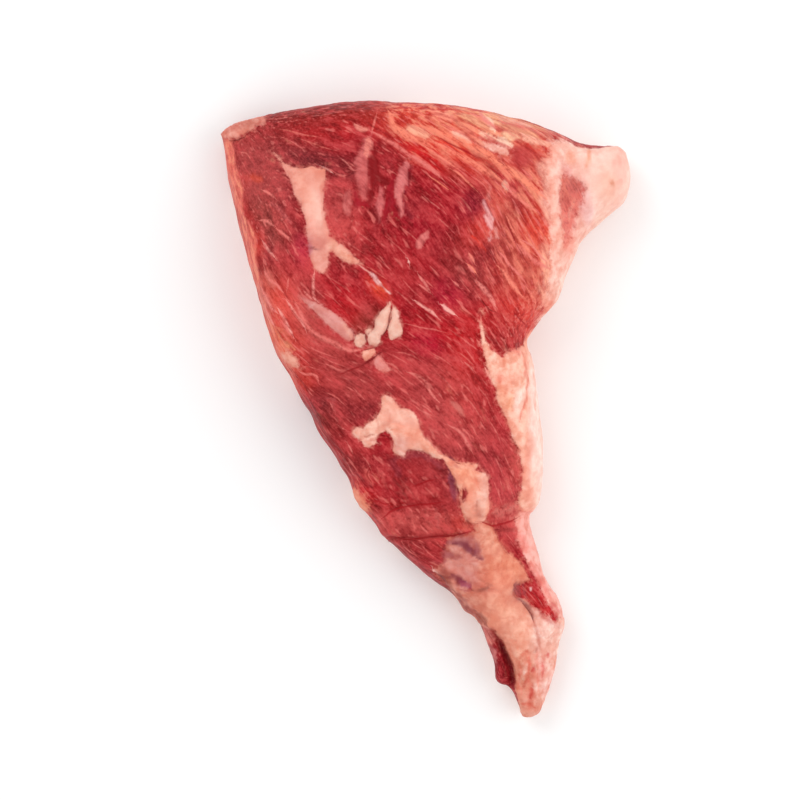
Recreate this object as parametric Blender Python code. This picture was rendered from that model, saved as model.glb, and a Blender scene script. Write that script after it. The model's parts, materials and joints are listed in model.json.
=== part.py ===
"""Raw tri-tip steak, one solid, lying flat with its lean face up.

Frame: metres, +Z up, the face it rests on at z = 0, the origin under the middle of its box. +Y runs
from the thin tail end to the broad end, +X to the fat side.
The solid is a four-sided patch between four edge curves (broad end, fat side, tail end, cut side),
with a domed top sheet and an underside that rolls under to a flat face. Sizes below are in
millimetres and are turned to metres where the mesh is made.
"""

import bmesh
import bpy
import numpy as np

MM = 0.001

# ---------------------------------------------------------------- outline, in plan, mm
# Each edge is a smooth curve through these points; the ends are shared corners.
BROAD_END = (
    (-92.0, 124.2), (-86.0, 128.3), (-72.9, 131.8), (-49.5, 136.8), (-30.6, 138.6),
    (-7.6, 137.9), (6.3, 137.7), (25.2, 134.6), (43.2, 131.0), (59.4, 125.1),
    (69.8, 119.9), (78.8, 118.4), (86.0, 118.4), (90.4, 115.4),
)
FAT_SIDE = (
    (90.4, 115.4), (92.4, 104.0), (90.2, 94.3), (81.9, 86.2), (72.0, 77.2), (64.8, 63.0),
    (59.4, 48.6), (52.4, 40.0), (47.9, 32.9), (49.5, 16.7), (51.8, 0.5), (53.2, -16.2),
    (52.8, -33.5), (50.6, -43.9), (47.7, -47.5), (48.6, -54.5), (51.3, -63.5),
    (54.0, -74.3), (60.6, -85.9), (63.0, -94.7), (59.9, -107.6), (57.9, -119.8),
    (55.8, -126.5), (53.4, -133.7), (51.6, -137.2),
)
TAIL_END = ((43.7, -136.8), (47.6, -138.5), (51.6, -137.2))
CUT_SIDE = (
    (-92.0, 124.2), (-90.0, 116.6), (-88.0, 103.0), (-84.4, 86.0), (-80.3, 70.6),
    (-73.6, 46.8), (-66.6, 25.2), (-55.8, 5.0), (-48.6, -8.6), (-34.7, -30.1),
    (-30.2, -42.3), (-23.4, -50.4), (-14.4, -60.8), (2.7, -76.0), (14.4, -84.6),
    (25.2, -95.0), (27.9, -104.8), (30.6, -112.0), (33.4, -121.6), (37.8, -125.0),
    (43.7, -136.8),
)

# ---------------------------------------------------------------- heights, mm
# Height of the top face over the table: (x, y, height) of the crown at places on it.
CROWN = (
    (-90, 124, 15), (-74, 104, 33), (-34, 126, 37), (-34, 96, 45), (4, 112, 46),
    (12, 72, 52), (-20, 58, 50), (-56, 66, 41), (44, 94, 45), (60, 72, 38),
    (64, 106, 35), (80, 102, 29), (0, 26, 49), (-38, 14, 38), (34, 14, 43),
    (42, -18, 36), (-10, -18, 40), (16, -32, 36), (-16, -46, 29), (20, -60, 29),
    (34, -66, 27), (4, -66, 25), (36, -94, 24), (52, -90, 21), (46, -118, 18), (48, -134, 12),
)
CROWN_REACH = 21.0  # how far one of those heights is felt
WAIST_CUT_SIDE = 12.0  # height at which the side is widest, on the cut side
WAIST_FAT_SIDE = 14.0  # and on the fat side
WAIST_SHARE = 0.46  # the widest level is never above this share of the local height
WAIST_WAVE = 0.16  # share by which the widest level rises and falls along the sides
WAVE_LENGTH = 58.0  # and the length of one such wave
ROLL_CUT_SIDE = 9.0  # how far in the top face starts to roll over, on the cut side
ROLL_FAT_SIDE = 16.0  # and on the fat side, where it is rounder
ROLL_BROAD_END = 13.0
ROLL_SHARE = 0.92  # a roll takes at most this share of the local half width
SQUARE_CUT_SIDE = 2.5  # power of the roll's curve: 2 is an ellipse, more has a squarer shoulder
SQUARE_FAT_SIDE = 2.0
TUCK = 9.0  # how far in the underside reaches the table
TUCK_SHARE = 0.6

# Broad furrows and ridges of the top face: (start, end, depth, half width); a ridge's depth is negative.
FURROWS = (
    ((-10.0, -52.5), (46.0, -48.0), 2.6, 5.0),  # crease across the neck of the tail
    ((44.0, 36.0), (50.0, -2.0), 1.8, 4.0),  # between the lean and the side fat
    ((66.0, 112.0), (66.0, 84.0), 3.5, 6.0),  # hollow behind the fat knob
    ((-66.0, 104.0), (-44.0, 40.0), -1.8, 6.0),  # seam of fat along the cut side
    ((34.0, -54.0), (49.0, -94.0), 2.4, 4.0),  # lean strip beside the tail's fat
    ((36.0, -103.0), (40.5, -122.0), 4.6, 3.6),  # cleft between the tail's flap and its fat
    ((-30.0, 100.0), (-27.0, 70.0), -1.6, 3.6),  # folds of silverskin
    ((-13.0, 106.0), (-17.0, 74.0), -1.6, 3.6),
    ((-36.0, 20.0), (-12.0, 36.0), -1.6, 5.0),
    ((-22.0, -2.0), (8.0, -20.0), -2.0, 8.0),  # pad of fat near the middle
    ((12.0, -26.0), (28.0, -48.0), -2.2, 7.0),
    ((20.0, -62.0), (44.0, -112.0), -2.4, 9.0),  # the tail's fat
)

# ---------------------------------------------------------------- mesh density
ACROSS = 40  # quads from the cut side to the fat side
ALONG = 58  # quads from the broad end to the tail
EDGE_STEPS = 400  # samples of each edge curve
FLAT = 0.02  # mm; lower than this is the flat face


def spline(points, steps):
    """A smooth curve through the points (cubic, with its tangents from the neighbours), sampled evenly by length."""
    p = np.array(points, float)
    chord = np.maximum(np.linalg.norm(np.diff(p, axis=0), axis=1), 1e-6)
    knot = np.concatenate([[0.0], np.cumsum(chord)])
    slope = np.diff(p, axis=0) / chord[:, None]
    tangent = np.vstack([slope[:1], slope[:-1] * chord[1:, None] + slope[1:] * chord[:-1, None], slope[-1:]])
    tangent[1:-1] /= (chord[:-1] + chord[1:])[:, None]
    t = np.linspace(0, knot[-1], steps * 4 + 1)
    i = np.clip(np.searchsorted(knot, t, side="right") - 1, 0, len(chord) - 1)
    f = ((t - knot[i]) / chord[i])[:, None]
    h = chord[i][:, None]
    fine = (
        (2 * f**3 - 3 * f**2 + 1) * p[i]
        + (f**3 - 2 * f**2 + f) * h * tangent[i]
        + (3 * f**2 - 2 * f**3) * p[i + 1]
        + (f**3 - f**2) * h * tangent[i + 1]
    )
    run = np.concatenate([[0.0], np.cumsum(np.linalg.norm(np.diff(fine, axis=0), axis=1))])
    even = np.linspace(0, run[-1], steps + 1)
    return np.column_stack([np.interp(even, run, fine[:, k]) for k in (0, 1)])


def along(curve, f):
    """Points of a sampled curve at the shares f of its length."""
    x = np.asarray(f, float) * (len(curve) - 1)
    return np.stack([np.interp(x, np.arange(len(curve)), curve[:, k]) for k in (0, 1)], -1)


def to_outline(points, outline):
    """The distance of each point from the closed outline."""
    a, b = outline, np.roll(outline, -1, axis=0)
    ab = b - a
    length2 = np.maximum((ab**2).sum(1), 1e-12)
    best = np.full(len(points), np.inf)
    for first in range(0, len(points), 500):
        p = points[first : first + 500, None, :]
        f = np.clip(((p - a) * ab).sum(-1) / length2, 0, 1)
        gap = np.linalg.norm(p - (a + f[..., None] * ab), axis=-1)
        best[first : first + 500] = gap.min(1)
    return best


def smooth(f):
    f = np.clip(f, 0, 1)
    return f * f * (3 - 2 * f)


def quarter_round(f, power=2.0):
    """From 0 at the outline, straight up, to 1 and level: a quarter of an ellipse, or squarer."""
    return (1 - (1 - np.clip(f, 0, 1)) ** power) ** (1 / power)


def crown(points):
    """The height of the top face before its edges roll over."""
    places, heights = np.array(CROWN, float)[:, :2], np.array(CROWN, float)[:, 2]
    gap2 = ((points[:, None, :] - places) ** 2).sum(-1)
    felt = np.exp(-gap2 / (2 * CROWN_REACH**2)) + 1e-9
    return (felt * heights).sum(1) / felt.sum(1)


def furrows(points):
    """How deep the broad furrows are at each point, less the ridges' height."""
    depth = np.zeros(len(points))
    for start, end, deep, half in FURROWS:
        a, ab = np.array(start), np.array(end) - np.array(start)
        f = ((points - a) @ ab) / (ab @ ab)
        gap = np.linalg.norm(points - (a + np.clip(f, 0, 1)[:, None] * ab), axis=1)
        depth += deep * np.exp(-((gap / half) ** 2))
    return depth


def spaced(n):
    """n + 1 shares from 0 to 1, closer together towards both ends, where the sides are steep."""
    return (1 - np.cos(np.linspace(0, np.pi, n + 1))) / 2


def plan_grid():
    """The patch between the four edge curves: the grid's points, shares across it and half widths."""
    top, fat = spline(BROAD_END, EDGE_STEPS), spline(FAT_SIDE, EDGE_STEPS)
    tail, cut = spline(TAIL_END, EDGE_STEPS), spline(CUT_SIDE, EDGE_STEPS)
    s, t = np.meshgrid(spaced(ACROSS), spaced(ALONG), indexing="ij")
    left, right, broad, end = along(cut, t), along(fat, t), along(top, s), along(tail, s)
    s3, t3 = s[..., None], t[..., None]
    corners = (
        (1 - s3) * (1 - t3) * top[0] + s3 * (1 - t3) * top[-1] + (1 - s3) * t3 * tail[0] + s3 * t3 * tail[-1]
    )
    grid = (1 - s3) * left + s3 * right + (1 - t3) * broad + t3 * end - corners
    outline = np.vstack([top[:-1], fat[:-1], tail[::-1][:-1], cut[::-1][:-1]])
    half = np.linalg.norm(right - left, axis=-1) / 2
    return grid, s, t, half, outline


def sheets():
    """The top and bottom heights over every point of the grid, which meet at the outline."""
    grid, s, t, half, outline = plan_grid()
    flat = grid.reshape(-1, 2)
    inside = to_outline(flat, outline)
    rim = np.zeros(s.shape, bool)
    rim[0], rim[-1], rim[:, 0], rim[:, -1] = True, True, True, True
    inside[rim.ravel()] = 0.0
    share, half = s.ravel(), half.ravel()
    height = crown(flat)
    waist = WAIST_CUT_SIDE + (WAIST_FAT_SIDE - WAIST_CUT_SIDE) * share
    turn = 2 * np.pi / WAVE_LENGTH
    waist = waist * (1 + WAIST_WAVE * np.sin(turn * flat[:, 1] + 2.0 * share) * np.cos(0.6 * turn * flat[:, 0]))
    waist = np.minimum(waist, WAIST_SHARE * height)
    roll = ROLL_CUT_SIDE + (ROLL_FAT_SIDE - ROLL_CUT_SIDE) * smooth(share)
    roll = roll + (ROLL_BROAD_END - roll) * smooth(1 - t.ravel() / 0.12)
    roll = np.minimum(roll, ROLL_SHARE * np.maximum(half, 3.0))
    tuck = np.minimum(TUCK, TUCK_SHARE * np.maximum(half, 3.0))
    rise = quarter_round(inside / roll, SQUARE_CUT_SIDE + (SQUARE_FAT_SIDE - SQUARE_CUT_SIDE) * share)
    top = waist + (height - furrows(flat) - waist) * rise
    bottom = waist * (1 - quarter_round(inside / tuck))
    return grid, top.reshape(s.shape), bottom.reshape(s.shape)


def steak_mesh(name):
    """The closed mesh: the top sheet, the underside, and one flat face where it rests."""
    grid, top, bottom = sheets()
    across, down = top.shape
    bm = bmesh.new()
    upper = [[None] * down for _ in range(across)]
    lower = [[None] * down for _ in range(across)]
    for i in range(across):
        for j in range(down):
            x, y = grid[i, j]
            upper[i][j] = bm.verts.new((x, y, top[i, j]))
            edge = i in (0, across - 1) or j in (0, down - 1)
            lower[i][j] = upper[i][j] if edge else bm.verts.new((x, y, bottom[i, j]))
    for i in range(across - 1):
        for j in range(down - 1):
            bm.faces.new((upper[i][j], upper[i][j + 1], upper[i + 1][j + 1], upper[i + 1][j]))
            bm.faces.new((lower[i][j], lower[i + 1][j], lower[i + 1][j + 1], lower[i][j + 1]))
    for v in bm.verts:
        if v.co.z < FLAT:
            v.co.z = 0.0
    bm.normal_update()
    resting = [f for f in bm.faces if all(v.co.z == 0.0 for v in f.verts)]
    bmesh.ops.dissolve_faces(bm, faces=resting, use_verts=True)
    low = [min(v.co[k] for v in bm.verts) for k in range(3)]
    high = [max(v.co[k] for v in bm.verts) for k in range(3)]
    middle = ((low[0] + high[0]) / 2, (low[1] + high[1]) / 2, low[2])
    for v in bm.verts:
        v.co = [(v.co[k] - middle[k]) * MM for k in range(3)]
    mesh = bpy.data.meshes.new(name)
    bm.to_mesh(mesh)
    bm.free()
    return mesh


def raw_beef():
    """Moist raw beef: deep red, a little glossy."""
    material = bpy.data.materials.new("raw_beef")
    material.use_nodes = True
    shader = material.node_tree.nodes["Principled BSDF"]
    shader.inputs["Base Color"].default_value = (0.42, 0.055, 0.05, 1.0)
    shader.inputs["Roughness"].default_value = 0.42
    shader.inputs["Metallic"].default_value = 0.0
    return material


def main():
    for obj in list(bpy.data.objects):
        bpy.data.objects.remove(obj)
    mesh = steak_mesh("tri_tip_steak")
    steak = bpy.data.objects.new("tri_tip_steak", mesh)
    bpy.context.scene.collection.objects.link(steak)
    mesh.shade_smooth()
    mesh.set_sharp_from_angle(angle=1.05)
    mesh.materials.append(raw_beef())


main()
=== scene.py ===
"""Looks of the raw tri-tip: one closed body of lean, fat and silverskin, with its relief as real mesh.

Places on the top are given as (x, y) on a plan of the cut seen from above: 0.45 mm for each unit at the
height where the sides are widest, x to the right, y towards the tail. Lengths are millimetres elsewhere.
"""

import json

import bmesh
import bpy
import numpy as np
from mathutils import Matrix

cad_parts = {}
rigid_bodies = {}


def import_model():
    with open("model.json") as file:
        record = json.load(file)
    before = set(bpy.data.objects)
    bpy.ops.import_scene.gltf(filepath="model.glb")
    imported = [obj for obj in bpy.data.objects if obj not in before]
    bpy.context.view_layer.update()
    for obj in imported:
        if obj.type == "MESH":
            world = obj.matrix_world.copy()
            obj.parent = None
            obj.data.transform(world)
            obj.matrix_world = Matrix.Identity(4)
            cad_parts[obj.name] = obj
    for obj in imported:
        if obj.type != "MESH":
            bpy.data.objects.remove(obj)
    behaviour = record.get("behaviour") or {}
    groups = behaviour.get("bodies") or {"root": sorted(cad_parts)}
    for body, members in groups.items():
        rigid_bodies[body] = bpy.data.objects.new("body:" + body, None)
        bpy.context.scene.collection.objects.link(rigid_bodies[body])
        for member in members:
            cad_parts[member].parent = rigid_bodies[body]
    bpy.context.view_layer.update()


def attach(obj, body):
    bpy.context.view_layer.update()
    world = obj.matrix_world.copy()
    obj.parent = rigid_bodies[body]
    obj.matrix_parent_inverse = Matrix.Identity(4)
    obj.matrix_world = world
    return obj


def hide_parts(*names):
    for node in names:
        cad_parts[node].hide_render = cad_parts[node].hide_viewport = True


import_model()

MM = 0.001
UNIT = 0.45  # mm for each plan unit
PLAN_X, PLAN_Y = 424.0, 409.0  # the plan's place of the frame's origin
EYE_H, WAIST_H = 1500.0, 13.0  # how high the plan's view point is, and the height where a unit is UNIT
VIEW_X, VIEW_Y = 400.0, 400.0  # the plan's middle

# ------------------------------------------------------------------ the body's form, as the solid has it
BROAD_END = (
    (-92.0, 124.2), (-86.0, 128.3), (-72.9, 131.8), (-49.5, 136.8), (-30.6, 138.6),
    (-7.6, 137.9), (6.3, 137.7), (25.2, 134.6), (43.2, 131.0), (59.4, 125.1),
    (69.8, 119.9), (78.8, 118.4), (86.0, 118.4), (90.4, 115.4),
)
FAT_SIDE = (
    (90.4, 115.4), (92.4, 104.0), (90.2, 94.3), (81.9, 86.2), (72.0, 77.2), (64.8, 63.0),
    (59.4, 48.6), (52.4, 40.0), (47.9, 32.9), (49.5, 16.7), (51.8, 0.5), (53.2, -16.2),
    (52.8, -33.5), (50.6, -43.9), (47.7, -47.5), (48.6, -54.5), (51.3, -63.5),
    (54.0, -74.3), (60.6, -85.9), (63.0, -94.7), (59.9, -107.6), (57.9, -119.8),
    (55.8, -126.5), (53.4, -133.7), (51.6, -137.2),
)
TAIL_END = ((43.7, -136.8), (47.6, -138.5), (51.6, -137.2))
CUT_SIDE = (
    (-92.0, 124.2), (-90.0, 116.6), (-88.0, 103.0), (-84.4, 86.0), (-80.3, 70.6),
    (-73.6, 46.8), (-66.6, 25.2), (-55.8, 5.0), (-48.6, -8.6), (-34.7, -30.1),
    (-30.2, -42.3), (-23.4, -50.4), (-14.4, -60.8), (2.7, -76.0), (14.4, -84.6),
    (25.2, -95.0), (27.9, -104.8), (30.6, -112.0), (33.4, -121.6), (37.8, -125.0),
    (43.7, -136.8),
)
CROWN = (
    (-90, 124, 15), (-74, 104, 33), (-34, 126, 37), (-34, 96, 45), (4, 112, 46),
    (12, 72, 52), (-20, 58, 50), (-56, 66, 41), (44, 94, 45), (60, 72, 38),
    (64, 106, 35), (80, 102, 29), (0, 26, 49), (-38, 14, 38), (34, 14, 43),
    (42, -18, 36), (-10, -18, 40), (16, -32, 36), (-16, -46, 29), (20, -60, 29),
    (34, -66, 27), (4, -66, 25), (36, -94, 24), (52, -90, 21), (46, -118, 18), (48, -134, 12),
)
CROWN_REACH = 21.0
WAIST_CUT_SIDE, WAIST_FAT_SIDE, WAIST_SHARE, WAIST_WAVE, WAVE_LENGTH = 12.0, 14.0, 0.46, 0.16, 58.0
ROLL_CUT_SIDE, ROLL_FAT_SIDE, ROLL_BROAD_END, ROLL_SHARE = 9.0, 16.0, 13.0, 0.92
SQUARE_CUT_SIDE, SQUARE_FAT_SIDE = 2.5, 2.0
TUCK, TUCK_SHARE = 9.0, 0.6
FURROWS = (
    ((-10.0, -52.5), (46.0, -48.0), 2.6, 5.0), ((44.0, 36.0), (50.0, -2.0), 1.8, 4.0),
    ((66.0, 112.0), (66.0, 84.0), 3.5, 6.0), ((-66.0, 104.0), (-44.0, 40.0), -1.8, 6.0),
    ((34.0, -54.0), (49.0, -94.0), 2.4, 4.0), ((36.0, -103.0), (40.5, -122.0), 4.6, 3.6),
    ((-30.0, 100.0), (-27.0, 70.0), -1.6, 3.6), ((-13.0, 106.0), (-17.0, 74.0), -1.6, 3.6),
    ((-36.0, 20.0), (-12.0, 36.0), -1.6, 5.0), ((-22.0, -2.0), (8.0, -20.0), -2.0, 8.0),
    ((12.0, -26.0), (28.0, -48.0), -2.2, 7.0), ((20.0, -62.0), (44.0, -112.0), -2.4, 9.0),
)
ACROSS, ALONG, EDGE_STEPS = 130, 190, 400
VOXEL = 0.84  # mm, the visual mesh's cell
FACE_LIMIT = 196_000  # triangles in the body

# ------------------------------------------------------------------ colours, as they look, 0 to 255
CRIMSON, DEEP, PLUM = (168, 20, 34), (138, 14, 28), (126, 40, 46)
BROWN, OLIVE, SCARLET = (138, 52, 46), (112, 46, 36), (198, 26, 30)
ORANGE_RED, MAGENTA, ROSE = (232, 72, 52), (196, 22, 58), (192, 70, 70)
SALMON, BRICK, GREYROSE = (230, 108, 88), (164, 44, 46), (204, 100, 98)
PEACH, CREAM, PALE_PINK = (245, 168, 147), (241, 190, 172), (253, 210, 196)
TAN, APRICOT, ROSY = (230, 146, 123), (245, 154, 128), (234, 140, 126)

# ------------------------------------------------------------------ fat, as outlines on the plan
# name, colour, how far it stands up in mm, softness of its edge in mm, outline
FAT = (
    ("corner_flap", (218, 134, 120), 0.35, 0.5,
     ((210, 138), (214, 122), (234, 108), (258, 104), (264, 115), (266, 122), (258, 125), (255, 129), (249, 132),
      (245, 136.5), (241, 134), (237.5, 140), (234.5, 136), (231, 141), (227.5, 137), (221, 139))),
    ("hourglass", (235, 156, 140), 0.9, 0.4,
     ((273.5, 151.5), (278, 157), (283, 163), (291, 166.5), (301, 168), (312, 167), (322, 168.5), (325.5, 168.5),
      (325, 180), (323, 194), (323.5, 209), (327, 223), (330, 236.5), (335.5, 239.5), (341.5, 246.5), (350.5, 253),
      (362, 264), (350.5, 263.5), (339.5, 258.5), (332, 251.5), (328.4, 254), (326.5, 268), (323.5, 274),
      (318.5, 272.5), (313.5, 268), (310, 255.5), (308, 244), (307.3, 230), (304.5, 216), (300.3, 201),
      (295.4, 194), (292.6, 185.5), (288, 175.5), (282, 164))),
    ("tendon", (224, 148, 140), 0.8, 0.35,
     ((300, 297), (307, 299), (313, 301.5), (320, 305), (333, 312.5), (344, 320.5), (352.8, 332), (353.4, 339.5),
      (349, 341.5), (342.5, 337), (332, 328), (321, 317.5), (313, 310), (306, 303.5))),
    ("lump_left", CREAM, 1.0, 0.25,
     ((353.3, 341.2), (355.4, 335.6), (361.7, 332.8), (365.2, 335.6), (364.5, 342.6), (360.3, 347.5), (355.4, 346.8))),
    ("lump_small", CREAM, 0.7, 0.25,
     ((365.2, 330.7), (369.4, 327.9), (372.2, 330), (370.1, 333.5), (366.6, 334.2))),
    ("lump_long", CREAM, 1.2, 0.25,
     ((390.5, 301.9), (385.5, 307), (381.4, 311.7), (375.7, 320.2), (374.3, 328.6), (370.1, 332.8), (367.3, 339.8),
      (368.7, 344), (375.7, 346.8), (380.7, 342.6), (381.4, 334.2), (387, 328.6), (390.5, 317.4), (391.2, 308.9))),
    ("lump_right", CREAM, 1.2, 0.25,
     ((394, 304.7), (397.5, 310.3), (398.9, 320.2), (402.4, 330), (403.1, 334.2), (398.2, 337), (391.2, 339.8),
      (388.4, 337), (389.1, 328.6), (391.6, 317.4), (392.6, 308.9))),
    ("lump_low", PEACH, 0.8, 0.3,
     ((362.4, 351), (368.7, 350.3), (374, 348.4), (376.2, 352), (371.5, 358), (365.9, 362.2), (363.1, 358))),
    ("lump_tail", (230, 138, 130), 0.5, 0.5,
     ((372.5, 353), (378, 354.5), (383, 359), (388, 366), (391, 370), (384, 373.5), (378, 370), (374, 362))),
    ("cloud", (250, 186, 166), 1.2, 0.4,
     ((381.6, 396), (385.2, 395), (391.4, 398), (396, 403), (400.4, 407.5), (408.4, 408.8), (413.5, 413),
      (417.3, 419.5), (420, 428), (422.7, 435.5), (429, 442.5), (436.1, 449), (445, 458.5), (440, 459), (434, 456.5),
      (423.6, 451.4), (412.9, 448.8), (407, 450), (403.9, 454), (398.6, 455), (393.2, 451.4), (395, 442.5),
      (391.4, 433.6), (386, 431), (380.7, 433.6), (375.4, 438), (377.1, 442.5), (371.8, 446.1), (364.6, 446.1),
      (362, 441.6), (356.6, 437.1), (352.1, 432.5), (355.9, 429), (362.9, 428.4), (367, 424.6), (371, 421.6),
      (376, 418.3), (379.8, 412.1), (381.6, 406.8))),
    ("second", (247, 168, 144), 1.1, 0.4,
     ((441, 453.5), (447, 457.5), (453, 460.4), (462.9, 463), (477.1, 463.9), (475.4, 471), (480.7, 472), (485.5, 474.5),
      (488.8, 478.5), (487.3, 488), (487.9, 496), (489.3, 504), (488.8, 511), (484.3, 518.4), (481, 523),
      (473, 524), (466.5, 521), (462.5, 512), (461, 505), (460.5, 497), (458.5, 487), (455, 478), (450.5, 470), (446, 463))),
    ("tail_fat", (228, 144, 121), 1.0, 0.6,
     ((449, 536.5), (458, 534.5), (468, 535), (476, 532), (474, 524), (481, 522), (487.5, 522.5), (492, 528), (498, 539.5),
      (505.5, 551), (517, 560), (524.5, 569), (529, 579), (523.5, 583.5), (514.5, 585), (513, 591), (516, 597),
      (524.5, 600), (533, 608.5), (541, 613), (548, 616), (555, 622), (566, 612), (580, 622), (574, 655), (562, 692),
      (548, 735), (516, 735), (521, 713), (518.7, 702.5), (515, 689), (516.5, 680.5), (513.5, 671.5), (513.5, 663),
      (510, 658.5), (505.5, 649.5), (501, 639.5), (494, 629.5), (483, 625), (475.5, 616), (465.5, 606.5), (457, 598),
      (451.5, 591), (442.5, 580), (437, 573.5), (436.5, 568), (444, 561.5), (446, 552), (446.5, 543))),
    ("side_fat", (252, 188, 166), 0.8, 0.45,
     ((481.8, 311), (481.6, 320), (483, 334), (485.5, 342.6), (491.2, 349.6), (501, 357.5), (505, 356), (508, 353),
      (513, 351), (518, 349.5), (523, 345.5), (526, 341), (529, 335), (534, 329), (560, 322),
      (582, 420), (574, 530), (546, 512), (526, 515), (518, 509), (518.5, 499), (522, 487), (523, 468), (519, 450.5),
      (513.5, 438), (507, 423), (500.5, 405), (496, 391), (492.5, 381), (488.5, 372), (484.6, 357),
      (482.2, 342.6), (480.4, 326))),
    ("tail_edge", (246, 172, 160), 0.4, 0.5,
     ((526, 507), (546, 508), (566, 560), (590, 612), (566, 622), (555.5, 614), (548.5, 604.5), (543, 593.5), (538, 581),
      (530, 567.5), (524.5, 554), (518, 543), (518.5, 531), (514, 518), (518, 512))),
    ("knob", (252, 206, 191), 0.8, 1.0,
     ((549, 147), (552, 143), (560, 140), (568, 142.5), (575, 146.5), (582, 148.5), (590, 149.5), (600, 148.5),
      (608, 147), (616, 144), (646, 136), (656, 200), (606, 262), (580, 302),
      (560, 322), (536, 330), (541, 318), (544, 304), (548, 284), (550.5, 262), (551.5, 246), (551, 228), (549.5, 209),
      (547.5, 190), (545, 176), (546, 159))),
    ("shoulder_blob", (248, 184, 168), 0.7, 0.6,
     ((479, 141), (486, 142.5), (495, 145.5), (503, 147.5), (508.5, 151), (508, 155), (501, 154), (493, 151), (485, 146.5))),
    ("cut_edge_fat", (240, 152, 124), 0.4, 0.7,
     ((349, 487), (354, 488.5), (358.5, 491.5), (362.5, 495.5), (366, 501), (367.5, 507.5), (365, 513), (358, 511), (350, 500))),
    ("cut_edge_low", (238, 166, 146), 0.3, 0.8,
     ((283, 354), (287, 351.5), (291, 354), (295, 359), (297.5, 366), (294, 368.5), (287, 363), (281, 358))),
)

# Lean that shows through the fat: name, its tone, how sharp its edge is, outline
WINDOWS = (
    ("knob_red", (224, 124, 112), 0.36,
     ((561, 176), (566, 173.5), (573, 178.5), (581, 183), (586, 188), (585, 197), (580, 208), (576.5, 218), (571.5, 229),
      (567.5, 240), (564, 244.5), (561.5, 240), (561.5, 228), (559.5, 214), (557.5, 200), (558, 187))),
    ("second_hole", (140, 34, 46), 0.6, ((462.5, 488), (465.5, 487), (466.5, 492), (465.5, 498), (463, 502), (461.5, 499), (463, 494))),
    ("neck_gap", (206, 92, 80), 0.6, ((462, 524), (468, 520), (473, 524), (471, 530), (465, 531))),
)

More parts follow.
